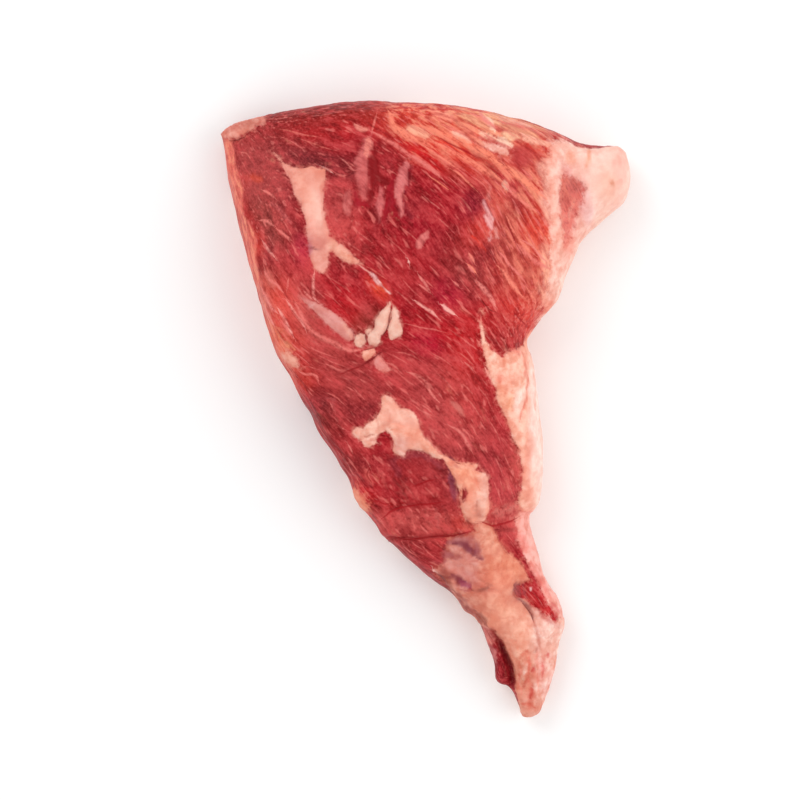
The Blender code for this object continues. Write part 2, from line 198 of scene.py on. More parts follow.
# Strokes painted over fat and lean alike: width, colour, strength, depth in mm, points
STROKES = (
    (9.0, (160, 74, 80), 0.85, 0.5, (445, 545), (452, 539.5), (460, 538.5), (468, 542), (475, 549), (481, 558)),
    (5.5, (124, 44, 58), 0.85, 0.6, (453, 543), (461, 544), (469, 548.5), (474, 553), (479, 558)),
    (4.6, (158, 52, 50), 0.6, 0.1, (384, 516), (386, 524), (387, 532)), (4.8, (220, 104, 98), 0.6, -0.2, (397, 513), (400, 522), (400, 531)),
    (4.8, (222, 106, 98), 0.65, -0.2, (411, 510), (414, 520), (414, 531)), (5.0, (156, 62, 56), 0.6, 0.1, (426, 508), (429, 518), (430, 529)),
    (3.6, (172, 60, 58), 0.5, 0.1, (404, 512), (406, 522), (407, 531)), (3.8, (206, 104, 98), 0.5, -0.1, (436, 511), (438, 520), (439, 529)),
    (4.6, (162, 62, 60), 0.55, 0.1, (444, 506), (447, 516), (449, 527)), (4.5, (142, 22, 26), 0.75, 0.3, (372, 506), (384, 509), (398, 510), (412, 508)),
    # the pale end of the lean above the crease
    (10.0, ROSY, 0.85, -0.1, (492, 513), (506, 511), (521, 507)),
    # the tail's dark edge along its left
    (8.0, BROWN, 0.85, 0.4, (441, 575), (448, 582), (455, 590)), (5.5, BROWN, 0.75, 0.3, (455, 591), (462, 599), (470, 608)),
    (5.0, BROWN, 0.7, 0.4, (475, 609), (483, 617), (489, 625)),
    # pale strips over the orange shoulder, and scarlet between them
    (7.0, APRICOT, 0.7, -0.3, (462, 131), (474, 137.5), (486, 146)), (6.5, APRICOT, 0.65, -0.3, (464, 145), (475, 151), (486, 158)),
    (6.0, APRICOT, 0.65, -0.3, (450, 119), (461, 125), (473, 131)), (6.0, SCARLET, 0.7, 0.2, (455, 169), (466, 174), (479, 180)),
    (4.0, (206, 98, 98), 0.6, 0.1, (300, 297.5), (307, 300.5), (313, 304)), (3.6, (242, 180, 162), 0.6, -0.2, (342, 322), (348, 330), (351.5, 338)),
    (2.0, (198, 112, 108), 0.5, 0.2, (309, 304.5), (322, 312.5), (337, 324)),
    (6.0, (148, 58, 60), 0.75, 0.3, (443, 549), (449, 554), (456, 558)), (5.0, (164, 66, 66), 0.6, 0.2, (447, 543), (449, 549), (450, 554)),
    (8.0, (238, 126, 116), 0.6, 0.0, (514, 527), (520, 539), (527, 552)), (6.0, (238, 134, 126), 0.5, 0.0, (533, 570), (541, 583), (550, 599)),
    # the second stroke here widens the dark red along the neck crease: painted shade in the crease over the lean's red
    (3.6, (158, 28, 32), 0.6, 0.3, (412, 508), (426, 505), (440, 503)), (4.0, (158, 40, 42), 0.5, 0.3, (386, 536.5), (406, 539), (427, 536.5), (450, 534.5), (466, 532.5)),
    (9.0, (216, 132, 120), 1.0, -0.3, (486, 626), (488, 635), (491, 645)), (7.0, (204, 128, 124), 0.9, -0.3, (490, 645), (493, 652), (496, 661)),
    # the first stroke here paints the cleft beside the tail's flap dark red: painted shade
    (5.0, (116, 20, 28), 0.6, 0.4, (497, 640), (503, 652), (508, 664)), (7.0, (230, 118, 108), 0.5, 0.0, (530, 562), (537, 578), (545, 592)),
    (2.4, (214, 70, 74), 0.5, 0.2, (548, 600), (554, 606), (559, 612)), (2.2, (210, 64, 68), 0.4, 0.2, (544, 606), (551, 611), (556, 616)),
    (7.0, (194, 102, 94), 0.6, 0.0, (566, 178), (573, 184), (580, 190)), (6.0, (210, 100, 86), 0.5, 0.0, (563, 190), (566, 202), (566, 214)),
    (3.0, (236, 166, 148), 0.6, -0.2, (575, 197), (571, 208), (568, 221)),
    (5.0, (188, 106, 102), 0.6, 0.2, (452, 537), (460, 536.6), (468, 539.5), (477, 547)),
    (6.0, (172, 86, 88), 0.65, 0.3, (443, 557), (450, 555), (456, 555.5), (462, 557)), (5.0, (158, 56, 62), 0.7, 0.3, (434, 563), (440, 562), (448, 561.5)),
    (5.0, (182, 92, 92), 0.6, 0.3, (445, 548), (447, 554), (446, 560)), (3.6, (226, 158, 148), 0.6, -0.3, (449, 548), (456, 549.5), (463, 553)),
    (3.6, (224, 152, 142), 0.6, -0.3, (466, 556), (472, 561), (478, 566)), (5.0, (218, 144, 134), 0.6, -0.2, (446, 566), (455, 563), (464, 564)),
    (6.0, (164, 88, 82), 0.6, 0.2, (441, 565), (445, 571), (452, 575)), (2.6, (118, 50, 54), 0.8, 0.4, (436.5, 572), (441, 576), (446, 581)),
    (7.5, (122, 32, 56), 0.92, 0.7, (449, 577), (455, 577.5), (459, 579.5), (463.5, 582)), (5.5, (150, 58, 90), 0.9, 0.5, (461, 582), (466, 584.5), (471.5, 588)),
    (3.4, (164, 36, 50), 0.8, 0.3, (460, 588), (468, 589.5), (474, 589.8)), (3.0, (140, 78, 70), 0.7, 0.4, (472, 590), (480, 589.6), (489, 587)),
    (2.6, (180, 104, 88), 0.7, 0.4, (480, 578), (486.4, 583.8), (493, 585.5)), (8.0, (196, 116, 106), 0.5, 0.2, (446, 583), (456, 592), (466, 601), (477, 612)),
    (5.0, (150, 62, 64), 0.75, 0.3, (458, 597), (466, 605), (475, 614), (483, 623)), (7.0, (214, 132, 112), 0.5, 0.2, (462, 590), (474, 598), (486, 610)),
    (6.0, (168, 108, 104), 0.8, 0.6, (517, 583), (518, 590), (520, 597)), (2.6, (112, 50, 54), 0.7, 0.6, (519.5, 584), (519.5, 590), (522, 598)),
    (2.6, (150, 90, 92), 0.6, 0.4, (524, 583), (524, 590), (526.5, 597)),
    # the first stroke here darkens the same crease between the tail's fat lobes: painted shade
    (2.4, (150, 84, 78), 0.6, 0.4, (520.4, 601), (525, 607.5), (530.3, 613.7), (532.5, 622)), (2.6, (210, 130, 114), 0.6, 0.4, (532.5, 620), (535, 631), (538, 640), (538.6, 647)),
    (3.2, (200, 96, 92), 0.7, 0.3, (540, 613), (546, 618.5), (551, 625)), (2.4, (208, 96, 90), 0.7, 0.3, (550, 606), (555, 612), (559, 618)),
    (3.0, (216, 106, 84), 0.7, 0.4, (521, 658), (525, 652), (528, 649.5)), (2.6, (172, 100, 86), 0.6, 0.3, (533.2, 654), (534.5, 650), (536, 647)),
    (3.0, (214, 72, 70), 0.85, 0.3, (545.8, 655.5), (547, 652)), (3.4, (204, 62, 60), 0.85, 0.4, (531.8, 671.5), (533.6, 667.5)),
    (2.4, (222, 98, 92), 0.8, 0.4, (541.3, 663), (542, 670), (541.6, 678)), (2.8, (206, 98, 80), 0.75, 0.4, (527, 678), (525.4, 683), (523.6, 688)),
    (2.6, (202, 60, 50), 0.85, 0.5, (532.4, 688), (531.3, 694), (529.8, 699)), (3.0, (220, 102, 80), 0.75, 0.4, (522, 702.5), (528.4, 704), (534, 706.5)),
    (2.6, (236, 126, 108), 0.7, 0.5, (528, 655), (529, 664), (528, 674), (529.5, 685)), (2.4, (240, 140, 124), 0.6, 0.5, (536.5, 655), (537.5, 666), (536.5, 678), (537, 690)),
    (2.4, (238, 130, 114), 0.6, 0.5, (520, 660), (521.5, 670), (520.5, 682), (521.5, 695)), (3.0, (253, 208, 194), 0.6, -0.5, (524.5, 656), (525, 666), (524.5, 677)),
    (3.0, (253, 208, 194), 0.6, -0.5, (533, 675), (534, 686), (535, 697)), (3.2, (253, 206, 192), 0.6, -0.5, (545, 660), (546, 672), (543.5, 685)),
    (2.4, (190, 96, 80), 0.8, 0.5, (364.5, 436.5), (370, 435.2), (375, 435)), (2.6, (238, 142, 116), 0.7, 0.4, (391, 429), (400, 430.5), (408.5, 433.5), (413, 437)),
    (2.2, (228, 140, 122), 0.6, 0.4, (376, 419), (378, 425), (376.5, 431)), (2.2, (232, 148, 130), 0.6, 0.4, (386, 408), (390, 417), (388, 426)),
    (2.4, (232, 134, 106), 0.7, 0.5, (471, 470), (473, 476), (477, 482), (478.5, 491)), (2.4, (202, 134, 114), 0.6, 0.5, (478, 500), (476, 507), (479, 514)),
    (3.4, (156, 58, 54), 0.75, 0.5, (467.6, 519), (469.6, 523.5)), (2.6, (244, 168, 142), 0.7, 0.4, (590, 149), (588.6, 156), (587.4, 163), (586, 170)),
    (3.0, (240, 166, 152), 0.5, 0.3, (586, 192), (584, 205), (580, 218), (574, 231)), (2.2, (230, 116, 96), 0.7, 0.4, (526, 371), (527.4, 385), (526, 397), (522, 410), (518.5, 421)),
    (2.2, (244, 156, 132), 0.5, 0.2, (533, 372), (534.4, 390), (534, 410)), (3.0, (250, 186, 160), 0.7, -0.4, (518, 364), (521, 378), (519, 392)),
    (4.0, (240, 166, 126), 0.8, -0.3, (271, 322), (275, 330), (281, 338), (287, 346), (291, 353)), (3.4, (238, 156, 120), 0.7, -0.3, (276, 325), (283, 333), (289, 342), (294, 350)),
    (3.0, (214, 66, 52), 0.7, 0.3, (281, 329), (287, 338), (293, 346)), (5.0, (208, 60, 48), 0.7, 0.2, (292, 368), (298, 373), (303, 380)),
    (4.0, (206, 104, 102), 0.7, -0.5, (326, 399), (331, 399), (334, 405), (336, 412)), (4.0, (150, 60, 60), 0.6, 0.6, (322, 402), (326, 407), (329, 414)),
    (5.0, (214, 80, 54), 0.6, 0.0, (248, 176), (255, 178), (263, 181)), (3.4, (216, 110, 108), 0.6, -0.2, (271.6, 202.8), (279, 209), (286, 217), (292.4, 225)),
    (5.5, (228, 92, 60), 0.8, 0.0, (376, 290), (381, 287), (385, 292)), (4.4, (226, 62, 44), 0.8, 0.0, (472, 236), (478, 242), (486, 251)),
    (4.4, (206, 112, 102), 0.8, -0.3, (453, 401), (458, 408), (464, 417)), (3.2, (222, 106, 104), 0.8, -0.4, (447.8, 424.6), (455, 428.5), (461.6, 433.5), (467.5, 442), (473, 452)),
    (3.0, (226, 112, 104), 0.8, -0.3, (430, 483), (434, 489), (439, 497)), (2.6, (224, 108, 102), 0.7, -0.3, (414, 488), (416.5, 494), (418.5, 501)),
    (7.0, (126, 10, 18), 1.0, 0.6, (354, 477), (363, 482), (372, 489)), (7.0, (166, 8, 18), 1.0, 0.4, (370, 493), (379, 498), (389, 503)),
    (6.0, (160, 12, 20), 0.8, 0.2, (386, 504), (397, 505), (409, 501)), (5.0, (150, 18, 24), 0.7, 0.2, (416, 501), (430, 498), (441, 500)),
    (4.0, (214, 100, 92), 0.6, -0.2, (363, 466), (368, 476), (373, 484)), (3.6, (210, 96, 90), 0.6, -0.2, (378, 470), (383, 480), (388, 490)),
    (3.4, (208, 96, 92), 0.5, -0.2, (396, 492), (404, 494), (412, 493)), (3.4, (206, 92, 88), 0.5, -0.2, (420, 490), (427, 493), (434, 493)),
    (3.0, (128, 22, 32), 0.8, 0.6, (403, 481), (408, 478)), (3.0, (142, 66, 58), 0.6, 0.2, (400, 479), (408, 489), (414, 499)), (2.6, (150, 72, 64), 0.6, 0.2, (396, 482), (404, 493), (409, 502)),
    # painted highlights: two tiny near-white glints on the tail fat
    (3.0, (250, 206, 198), 0.95, -0.4, (433.6, 569), (437.6, 571)), (3.0, (250, 218, 212), 0.95, -0.3, (529.4, 587.6), (531.4, 588.8)),
)

# A veil of fat over the lean: x, y, reach x, reach y, turn, how much of the ground it covers, its colour
VEIL = (
    (482, 121, 30, 8, 9, 1.0, (242, 178, 140)), (515, 132, 26, 8, 16, 1.1, (244, 170, 138)), (545, 137, 12, 5, 20, 0.8, (240, 150, 126)),
    (452, 138, 26, 7, 30, 0.55, (246, 154, 122)), (505, 172, 34, 7, 32, 0.6, (246, 160, 130)), (548, 178, 6, 16, 0, 0.9, (247, 166, 142)),
    (547, 272, 8, 30, 0, 1.3, (249, 172, 146)), (532, 262, 9, 20, -10, 0.55, (240, 150, 128)), (549, 196, 6.5, 22, 0, 1.3, (251, 184, 162)),
    (548, 172, 7, 12, 0, 1.3, (251, 184, 160)), (541, 238, 8, 12, 0, 0.6, (248, 128, 102)), (500, 118, 34, 7, 12, 1.0, (246, 176, 138)),
    (515, 225, 9, 18, -20, 0.45, (232, 150, 128)), (410, 130, 22, 5, 36, 0.45, (246, 152, 118)), (508, 350, 8, 5, 0, 0.4, (240, 150, 130)),
)

# ------------------------------------------------------------------ silverskin and pale folds
# name, colour, strength, how far it stands up in mm, softness in mm, outline
SKIN = (
    ("bruise", (186, 58, 60), 0.6, 0.0, 2.2,
     ((511, 149), (516, 146), (524, 145), (531, 148), (534, 155), (531, 163), (524, 167), (516, 166), (511, 158))),
    ("bruise_red", (208, 52, 44), 0.7, 0.0, 1.6, ((533, 147), (549, 148.5), (549, 152.5), (541, 155), (534, 152))),
    ("fold_1", (210, 104, 102), 0.85, 1.6, 1.3,
     ((372.9, 134), (371.5, 139), (372, 145), (371.5, 151.6), (368.2, 158.7), (367.6, 167), (367.8, 181), (367.6, 192.3),
      (366, 199.3), (363, 200.5), (359.5, 192.3), (356, 183.2), (355.1, 170), (355.8, 158.7), (359.5, 153), (365, 139.7))),
    # fold_1_lit is painted light: a lighter copy of fold_1's membrane colour on the fold's lit top end
    ("fold_1_lit", (236, 136, 124), 0.95, 1.6, 1.2,
     ((370.5, 136), (372.5, 144), (371.5, 151), (368, 158), (364, 156), (363.8, 146), (366.5, 138.5))),
    ("fold_2", (221, 121, 119), 0.9, 1.6, 1.2,
     ((408.6, 158.7), (410, 161.5), (408, 170), (407.2, 179.7), (405.1, 188.1), (401.7, 197.2), (402.5, 207), (404.6, 214.8),
      (400.4, 216.8), (398, 207.8), (395.8, 198.6), (394.4, 191.6), (395.2, 181.1), (397.4, 172.7), (403.5, 164.3))),
    ("fold_3", (214, 108, 108), 0.85, 1.2, 1.1,
     ((379.9, 186), (382.8, 188), (384.2, 195), (383.6, 205.6), (381.5, 214.8), (379.9, 223), (378.3, 212.7), (376.2, 204.2),
      (377.6, 195))),
    ("fold_4", (212, 112, 108), 0.75, 1.0, 1.2,
     ((350, 187), (351.3, 191.6), (351.8, 202), (349.5, 216), (346, 212), (343.2, 205.6), (344, 195))),
    # the valley rows paint the creases between the folds dark crimson: painted shade over the lean, beside their sunk
    # relief
    ("valley_1", (140, 20, 26), 0.9, -1.0, 1.6,
     ((369.2, 157), (373, 150), (377, 150), (379, 160), (380, 172), (386, 178), (390, 182), (388, 186), (383, 184),
      (378, 184), (375, 193), (373, 200), (369, 204), (366.6, 203), (369, 196), (369.3, 185), (368.9, 170))),
    ("valley_2", (160, 18, 34), 0.9, -0.9, 1.5,
     ((385.5, 188), (388, 184), (392, 175), (394.2, 172), (394.2, 182), (393.4, 192), (394.8, 200), (397, 209), (399, 218),
      (395, 215), (391, 207), (388, 213), (384, 223), (382, 219), (385, 206), (386, 196))),
    ("valley_3", (162, 14, 34), 0.8, -0.9, 1.2,
     ((351.5, 180), (354, 184), (355.6, 190), (358.6, 197), (362.5, 202.5), (368.5, 201.5), (370, 204.5), (364, 208),
      (358, 208), (354, 204), (352.4, 195))),
    ("valley_4", (126, 20, 34), 0.75, -0.7, 1.1,
     ((411, 160), (413, 166), (410.5, 176), (409, 184), (407.5, 190), (404.5, 197), (406, 206), (410, 213), (413, 219),
      (411, 222), (406, 217), (403.4, 207.5), (402.6, 198), (405.8, 189), (408, 179), (409, 169))),
    ("lump_1", (250, 196, 170), 1.0, 0.7, 0.8, ((482, 116.5), (488, 117), (494, 122), (497, 129), (494.5, 132.5), (489, 128.5), (484.5, 124))),
    ("lump_2", (250, 180, 156), 1.0, 0.7, 0.8, ((478, 128.5), (484, 130.5), (491, 133.5), (498, 138), (494.5, 141), (486, 138.5), (479, 134))),
    ("lump_3", (251, 202, 178), 1.0, 0.7, 0.8, ((497, 136), (503, 137), (508.5, 141.5), (514, 146), (510, 148), (503, 145), (497, 141.5))),
    ("lump_4", (250, 190, 156), 0.95, 0.6, 0.9, ((501, 131), (509, 130), (517.5, 133.5), (521, 139), (513, 141.5), (505, 138.5))),
    ("lump_5", (249, 176, 152), 0.9, 0.5, 0.9, ((520, 132), (530, 136), (545, 141), (554, 143.5), (548, 146.5), (535, 144), (523, 140.5))),
    ("lump_6", (249, 188, 166), 0.95, 0.5, 0.9, ((451, 130), (460, 132), (468.5, 136), (472, 142), (465, 144.5), (456, 139.5))),
    ("lump_7", (244, 172, 150), 0.85, 0.4, 1.0, ((496, 116.5), (507, 118), (519, 121), (532, 125), (529, 129), (512, 125.5), (499, 122))),
    ("lump_8", (250, 150, 128), 0.75, 0.3, 1.1, ((429, 109), (445, 112), (457, 118), (452, 122), (437, 118))),
    ("lump_9", (247, 170, 142), 0.85, 0.5, 1.0, ((407, 124.5), (416, 126), (425, 130.5), (432, 136), (425, 138.5), (414, 134.5), (407, 130))),
    ("lump_10", (250, 196, 172), 0.8, 0.3, 0.8, ((503.5, 180), (506.5, 184), (508, 189.5), (504.5, 188), (501, 184))),
    ("wedge", ROSY, 0.75, 0.5, 0.7,
     ((352.9, 123.7), (360, 126), (368.4, 129.3), (369, 132.5), (363, 131.5), (357, 128.5))),
    ("sliver_1", (236, 168, 166), 0.8, 0.5, 0.9,
     ((482.5, 200), (485, 199), (487.5, 205), (491, 212), (493.5, 219), (492.5, 227), (491.5, 238), (489, 240),
      (488, 228), (485.5, 218), (484, 208))),
    ("sliver_3", (226, 140, 132), 0.5, 0.3, 1.0, ((487, 198), (488, 190), (490, 184), (491.5, 186), (490, 192), (489.5, 200))),
    ("sliver_2", (232, 168, 160), 0.5, 0.4, 1.2, ((494, 226), (497, 228), (497.5, 238), (495.5, 238))),
    ("patch_left", (224, 120, 108), 0.6, 0.3, 1.6,
     ((265.7, 272), (270, 270.5), (274, 275), (277, 284), (274, 288), (268, 285))),
    ("blush", (232, 132, 126), 0.75, 0.4, 1.1, ((416.5, 248), (418, 241), (421, 235), (427, 231.5), (428.5, 237), (424.5, 241), (420.5, 248))),
    ("rim_purple_1", (132, 64, 80), 0.7, 0.0, 1.1, ((444, 455.5), (449, 457), (453.5, 461), (454, 467), (450.5, 468), (447, 463))),
    ("rim_purple_2", (132, 64, 84), 0.6, -0.3, 1.3,
     ((449, 468), (452, 472), (455.5, 482), (457, 494), (456, 501), (452, 499), (450, 490), (448, 478))),
    # glint is a painted highlight: a small pale glint on the purple rim left of the second fat patch
    ("glint", (214, 140, 148), 0.4, 0.1, 0.9, ((448.6, 479), (450.2, 481.5), (452, 488), (450.8, 488.5), (448.6, 483))),
    ("rim_purple_3", (140, 60, 70), 0.45, -0.2, 2.4,
     ((390, 459), (398, 454), (408, 450), (424, 450), (434, 456), (443, 467), (441, 471), (432, 464), (422, 458.5),
      (408, 458), (398, 462), (392, 467))),
    ("rim_purple_4", (130, 46, 58), 0.45, -0.2, 2.2, ((391, 462), (397, 461), (402, 466), (404, 474), (402, 480), (396, 476), (392, 469))),
    ("stroke_1", (248, 196, 190), 0.95, 0.4, 0.6, ((370, 272.5), (374, 274.5), (381, 281.5), (387, 288.5), (390, 293), (387, 292), (380, 286), (374, 280))),
    ("stroke_2", (248, 188, 184), 0.95, 0.4, 0.6, ((439.5, 302.5), (444, 304.5), (450, 309.5), (454, 314), (450, 313), (444, 309))),
    ("grey_low", (206, 110, 102), 0.7, 0.3, 1.2, ((450, 399), (456, 402), (462, 411), (460, 415), (453, 408))),
    ("muscle_end", BRICK, 0.3, 0.9, 2.0,
     ((393, 457), (404, 452), (418, 451), (431, 457), (441, 466), (449, 478), (454, 492), (452, 503), (441, 507),
      (424, 508), (408, 505), (398, 492), (391, 474))),
    ("neck_pale", ROSE, 0.45, 0.2, 1.6, ((470, 514), (480, 512), (493, 512), (508, 510), (520, 508), (523, 514), (508, 520), (492, 523), (480, 519))),
)

# ------------------------------------------------------------------ tint of the lean: x, y, reach x, reach y, turn, colour, weight
TONES = (
    (308, 154, 22, 8, 14, (116, 36, 42), 3.4), (338, 164, 18, 7, 16, (118, 24, 32), 3.4), (273, 226, 9, 17, -25, BROWN, 2.2),
    # the OLIVE row at (366, 322) is painted shade beside the raised fat lumps
    (266, 255, 10, 20, -15, PLUM, 1.2), (366, 322, 11, 9, -40, OLIVE, 2.0), (468, 277, 13, 10, 40, BROWN, 2.0),
    (455, 250, 26, 14, 50, DEEP, 1.2), (300, 116, 40, 7, -8, (122, 20, 20), 2.2), (262, 134, 30, 8, 0, BRICK, 1.0),
    (312, 137, 18, 9, 20, SCARLET, 1.6), (345, 125, 20, 8, 0, SCARLET, 1.2), (350, 150, 20, 12, 20, CRIMSON, 1.0),
    (355, 108, 30, 4, -2, OLIVE, 1.4), (385, 106, 30, 5, 0, SCARLET, 1.0), (420, 115, 34, 8, 4, ORANGE_RED, 2.0),
    (430, 135, 28, 14, 25, ORANGE_RED, 1.8), (425, 155, 14, 7, 30, SCARLET, 2.6), (412, 140, 12, 6, 30, SCARLET, 1.6),
    (470, 150, 30, 12, 28, ORANGE_RED, 1.6), (520, 156, 9, 8, 10, (194, 68, 64), 2.4), (540, 162, 9, 9, 0, (236, 108, 92), 2.6),
    (546, 230, 6, 14, 0, (244, 104, 82), 3.0), (275, 150, 22, 14, 20, (150, 56, 54), 1.6), (385, 232, 20, 14, 40, (138, 26, 36), 1.4),
    (470, 262, 16, 24, 20, (150, 46, 48), 1.6), (462, 305, 14, 12, 0, (160, 40, 46), 1.2), (350, 468, 14, 14, 0, (146, 48, 46), 1.4),
    (520, 190, 22, 12, 35, BRICK, 1.8), (541, 222, 13, 19, 10, ORANGE_RED, 3.0), (541, 148, 10, 6, 0, SCARLET, 1.6),
    (500, 140, 30, 14, 15, SALMON, 1.4), (480, 118, 20, 7, 5, SALMON, 1.6),
    (516, 240, 10, 20, -10, BROWN, 1.2), (500, 205, 10, 18, 0, SALMON, 0.9), (476, 232, 8, 18, 40, ORANGE_RED, 1.4),
    (530, 275, 16, 26, -10, SALMON, 1.6), (513, 300, 18, 20, 0, (200, 54, 48), 1.6), (518, 325, 20, 12, 30, SCARLET, 2.4),
    (528, 315, 10, 16, 30, ORANGE_RED, 1.8), (504, 330, 12, 14, 0, BRICK, 1.4),
    (250, 160, 12, 16, 0, (170, 74, 70), 1.8), (262, 188, 16, 18, 0, (172, 76, 72), 1.8), (248, 178, 6, 5, 0, ORANGE_RED, 0.8),
    (302, 302, 14, 14, 0, (208, 104, 96), 1.2), (318, 345, 24, 12, 35, (204, 92, 84), 1.4), (342, 222, 14, 22, 0, (206, 86, 82), 1.4),
    (462, 392, 22, 16, 50, (208, 90, 84), 1.7), (455, 432, 26, 16, 48, (204, 92, 88), 1.6), (428, 400, 22, 16, 40, (198, 82, 80), 1.2),
    (385, 226, 13, 14, 0, DEEP, 1.6), (350, 385, 26, 12, 20, (186, 82, 78), 1.2), (440, 425, 14, 10, 40, (202, 92, 90), 1.0),
    (250, 224, 6, 14, -20, SCARLET, 2.2), (258, 242, 5, 8, 0, ORANGE_RED, 1.6), (290, 180, 10, 16, 0, PLUM, 0.9),
    (296, 230, 9, 20, -10, BRICK, 1.0), (304, 250, 6, 8, 0, MAGENTA, 0.8), (303, 262, 12, 12, 0, ROSE, 0.8),
    (262, 290, 12, 14, 0, SALMON, 1.2), (282, 300, 12, 14, 0, ORANGE_RED, 1.0), (300, 285, 14, 12, 0, ROSE, 0.9),
    (330, 292, 18, 12, 35, CRIMSON, 1.5), (345, 310, 16, 12, 40, SCARLET, 0.9), (379, 289, 8, 4, 48, ORANGE_RED, 2.0),
    (335, 265, 12, 8, 40, CRIMSON, 1.0), (390, 235, 24, 14, 30, SCARLET, 1.2), (372, 215, 10, 20, 0, CRIMSON, 1.2),
    (345, 200, 18, 20, 0, ROSE, 0.9), (340, 230, 14, 14, 0, ROSE, 0.9), (390, 165, 12, 20, 0, BRICK, 1.0),
    (430, 195, 26, 16, 40, CRIMSON, 1.2), (410, 225, 16, 10, 40, MAGENTA, 0.7),
    (450, 293, 9, 8, 40, MAGENTA, 3.0), (430, 343, 9, 7, 20, MAGENTA, 2.4), (470, 325, 16, 8, 45, SCARLET, 1.6),
    (455, 345, 26, 10, 35, SCARLET, 1.2), (475, 375, 18, 18, 50, SCARLET, 2.0), (488, 400, 14, 22, 60, CRIMSON, 1.6),
    (420, 320, 18, 10, 30, CRIMSON, 1.0), (400, 270, 24, 12, 45, BRICK, 0.9),
    (290, 340, 18, 12, 30, ORANGE_RED, 0.9), (310, 358, 24, 8, 20, BRICK, 1.2), (300, 382, 10, 10, 0, ORANGE_RED, 1.6),
    (330, 360, 24, 8, 15, BRICK, 1.2), (345, 390, 30, 12, 20, BRICK, 1.0), (318, 405, 14, 10, 30, PLUM, 1.4),
    (360, 412, 20, 10, -20, PLUM, 1.0), (330, 420, 12, 12, 0, BROWN, 1.4), (340, 440, 14, 16, 20, BRICK, 1.0),
    (410, 375, 24, 12, 30, ROSE, 0.8), (430, 390, 20, 14, 40, BRICK, 0.8), (425, 420, 18, 16, 40, BRICK, 0.8),
    (455, 440, 24, 14, 45, CRIMSON, 0.8), (390, 438, 7, 6, 0, CRIMSON, 1.6), (385, 462, 14, 18, 10, CRIMSON, 1.0),
    (345, 470, 14, 18, 30, BRICK, 1.2), (362, 492, 12, 8, 30, SCARLET, 1.4), (356, 470, 8, 8, 0, PLUM, 1.2),
    (415, 480, 26, 22, 20, BRICK, 1.4), (405, 458, 18, 7, -10, PLUM, 1.4), (437, 470, 12, 12, 40, PLUM, 1.0),
    (450, 478, 5, 14, -10, PLUM, 3.0), (447, 464, 5, 6, 0, PLUM, 3.0), (455, 500, 8, 8, 0, ROSE, 1.0),
    (505, 482, 16, 24, 0, (180, 64, 68), 3.0), (500, 458, 16, 10, 0, DEEP, 0.9), (505, 511, 18, 6, -5, (226, 104, 92), 2.6),
    (400, 522, 30, 10, 5, (206, 90, 84), 2.0), (440, 521, 24, 9, 0, (194, 86, 82), 1.8), (425, 552, 22, 12, 25, BRICK, 1.2),
    (462, 522, 12, 6, 0, ORANGE_RED, 1.4), (430, 508, 26, 5, 0, CRIMSON, 1.0), (390, 500, 12, 10, 0, CRIMSON, 1.0),
    (505, 535, 12, 14, 30, (186, 58, 60), 1.6), (515, 525, 8, 10, 0, (208, 96, 90), 1.6), (540, 603, 13, 7, 38, SCARLET, 3.4),
    (530, 592, 9, 6, 38, CRIMSON, 2.6), (520, 560, 10, 12, 35, CRIMSON, 1.0),
    # the two DEEP rows at (498, 658) and (508, 672) paint the flap dark beside the cleft: painted shade
    (498, 658, 10, 24, -20, DEEP, 3.0), (508, 672, 6, 16, -20, DEEP, 3.0), (445, 590, 12, 8, 35, PLUM, 2.0),
    (575, 192, 12, 20, 0, BRICK, 1.0),
    (408, 142.5, 6, 3.6, 40, (192, 8, 18), 5.0), (420, 152, 6, 4.4, 45, (204, 6, 16), 6.0), (450, 110.5, 7, 2.6, 10, (226, 36, 36), 4.0),
    (487, 139, 6, 3, 30, (206, 56, 40), 4.0), (531, 147, 7, 2.4, 10, (226, 66, 48), 4.0), (512, 186, 16, 7, 40, (198, 84, 82), 3.0),
    (435, 160, 8, 6, 40, (206, 16, 24), 3.0), (452, 170, 10, 4, 40, (150, 40, 30), 2.4), (476, 207, 9, 10, 0, (126, 18, 42), 2.6),
    (300, 112, 44, 8, -6, (138, 22, 6), 2.4), (335, 114, 34, 7, -2, (148, 22, 8), 2.0), (300, 138, 30, 10, 10, (150, 22, 20), 1.6),
    (258, 214, 9, 11, -30, (112, 52, 40), 1.8), (269, 236, 8, 10, 0, (126, 60, 54), 1.4), (302, 248, 6, 10, 0, (184, 48, 76), 1.6),
    (460, 240, 14, 12, 40, (146, 34, 40), 2.0), (422, 212, 20, 14, 30, DEEP, 1.6), (400, 226, 16, 12, 30, (138, 18, 30), 1.4),
    (516, 522, 8, 8, 0, (218, 100, 92), 2.4), (425, 556, 18, 8, 25, (154, 54, 54), 1.6),
    (400, 245, 22, 16, 30, DEEP, 1.2), (391, 176, 8, 16, 0, DEEP, 2.2), (352, 152, 12, 8, 0, DEEP, 1.0), (425, 560, 14, 10, 25, DEEP, 1.2),
    (520, 466, 8, 14, 0, SALMON, 1.6), (400, 522, 12, 8, 0, ROSE, 1.2), (430, 520, 14, 7, 0, BROWN, 1.0), (262, 165, 16, 18, 0, ROSE, 0.9),
    (530, 190, 12, 10, 40, ORANGE_RED, 1.4), (455, 112, 26, 4, 3, ORANGE_RED, 2.0),
)
TONE_BASE = (CRIMSON, 0.55)

# The cut side's face seen along the left edge: where it ends inwards
BAND = (
    (233, 140), (236, 160), (240, 175), (243, 188), (244, 205), (243.5, 216), (250, 222), (255, 232), (256, 244),
    (257, 258), (258.5, 272), (262, 290), (268, 305), (272.5, 318), (277.5, 333), (284.5, 345), (291.5, 357),
    (297.5, 367), (301, 375), (303, 386), (300, 398), (285, 396), (255, 350), (225, 260), (205, 140), (222, 136),
)

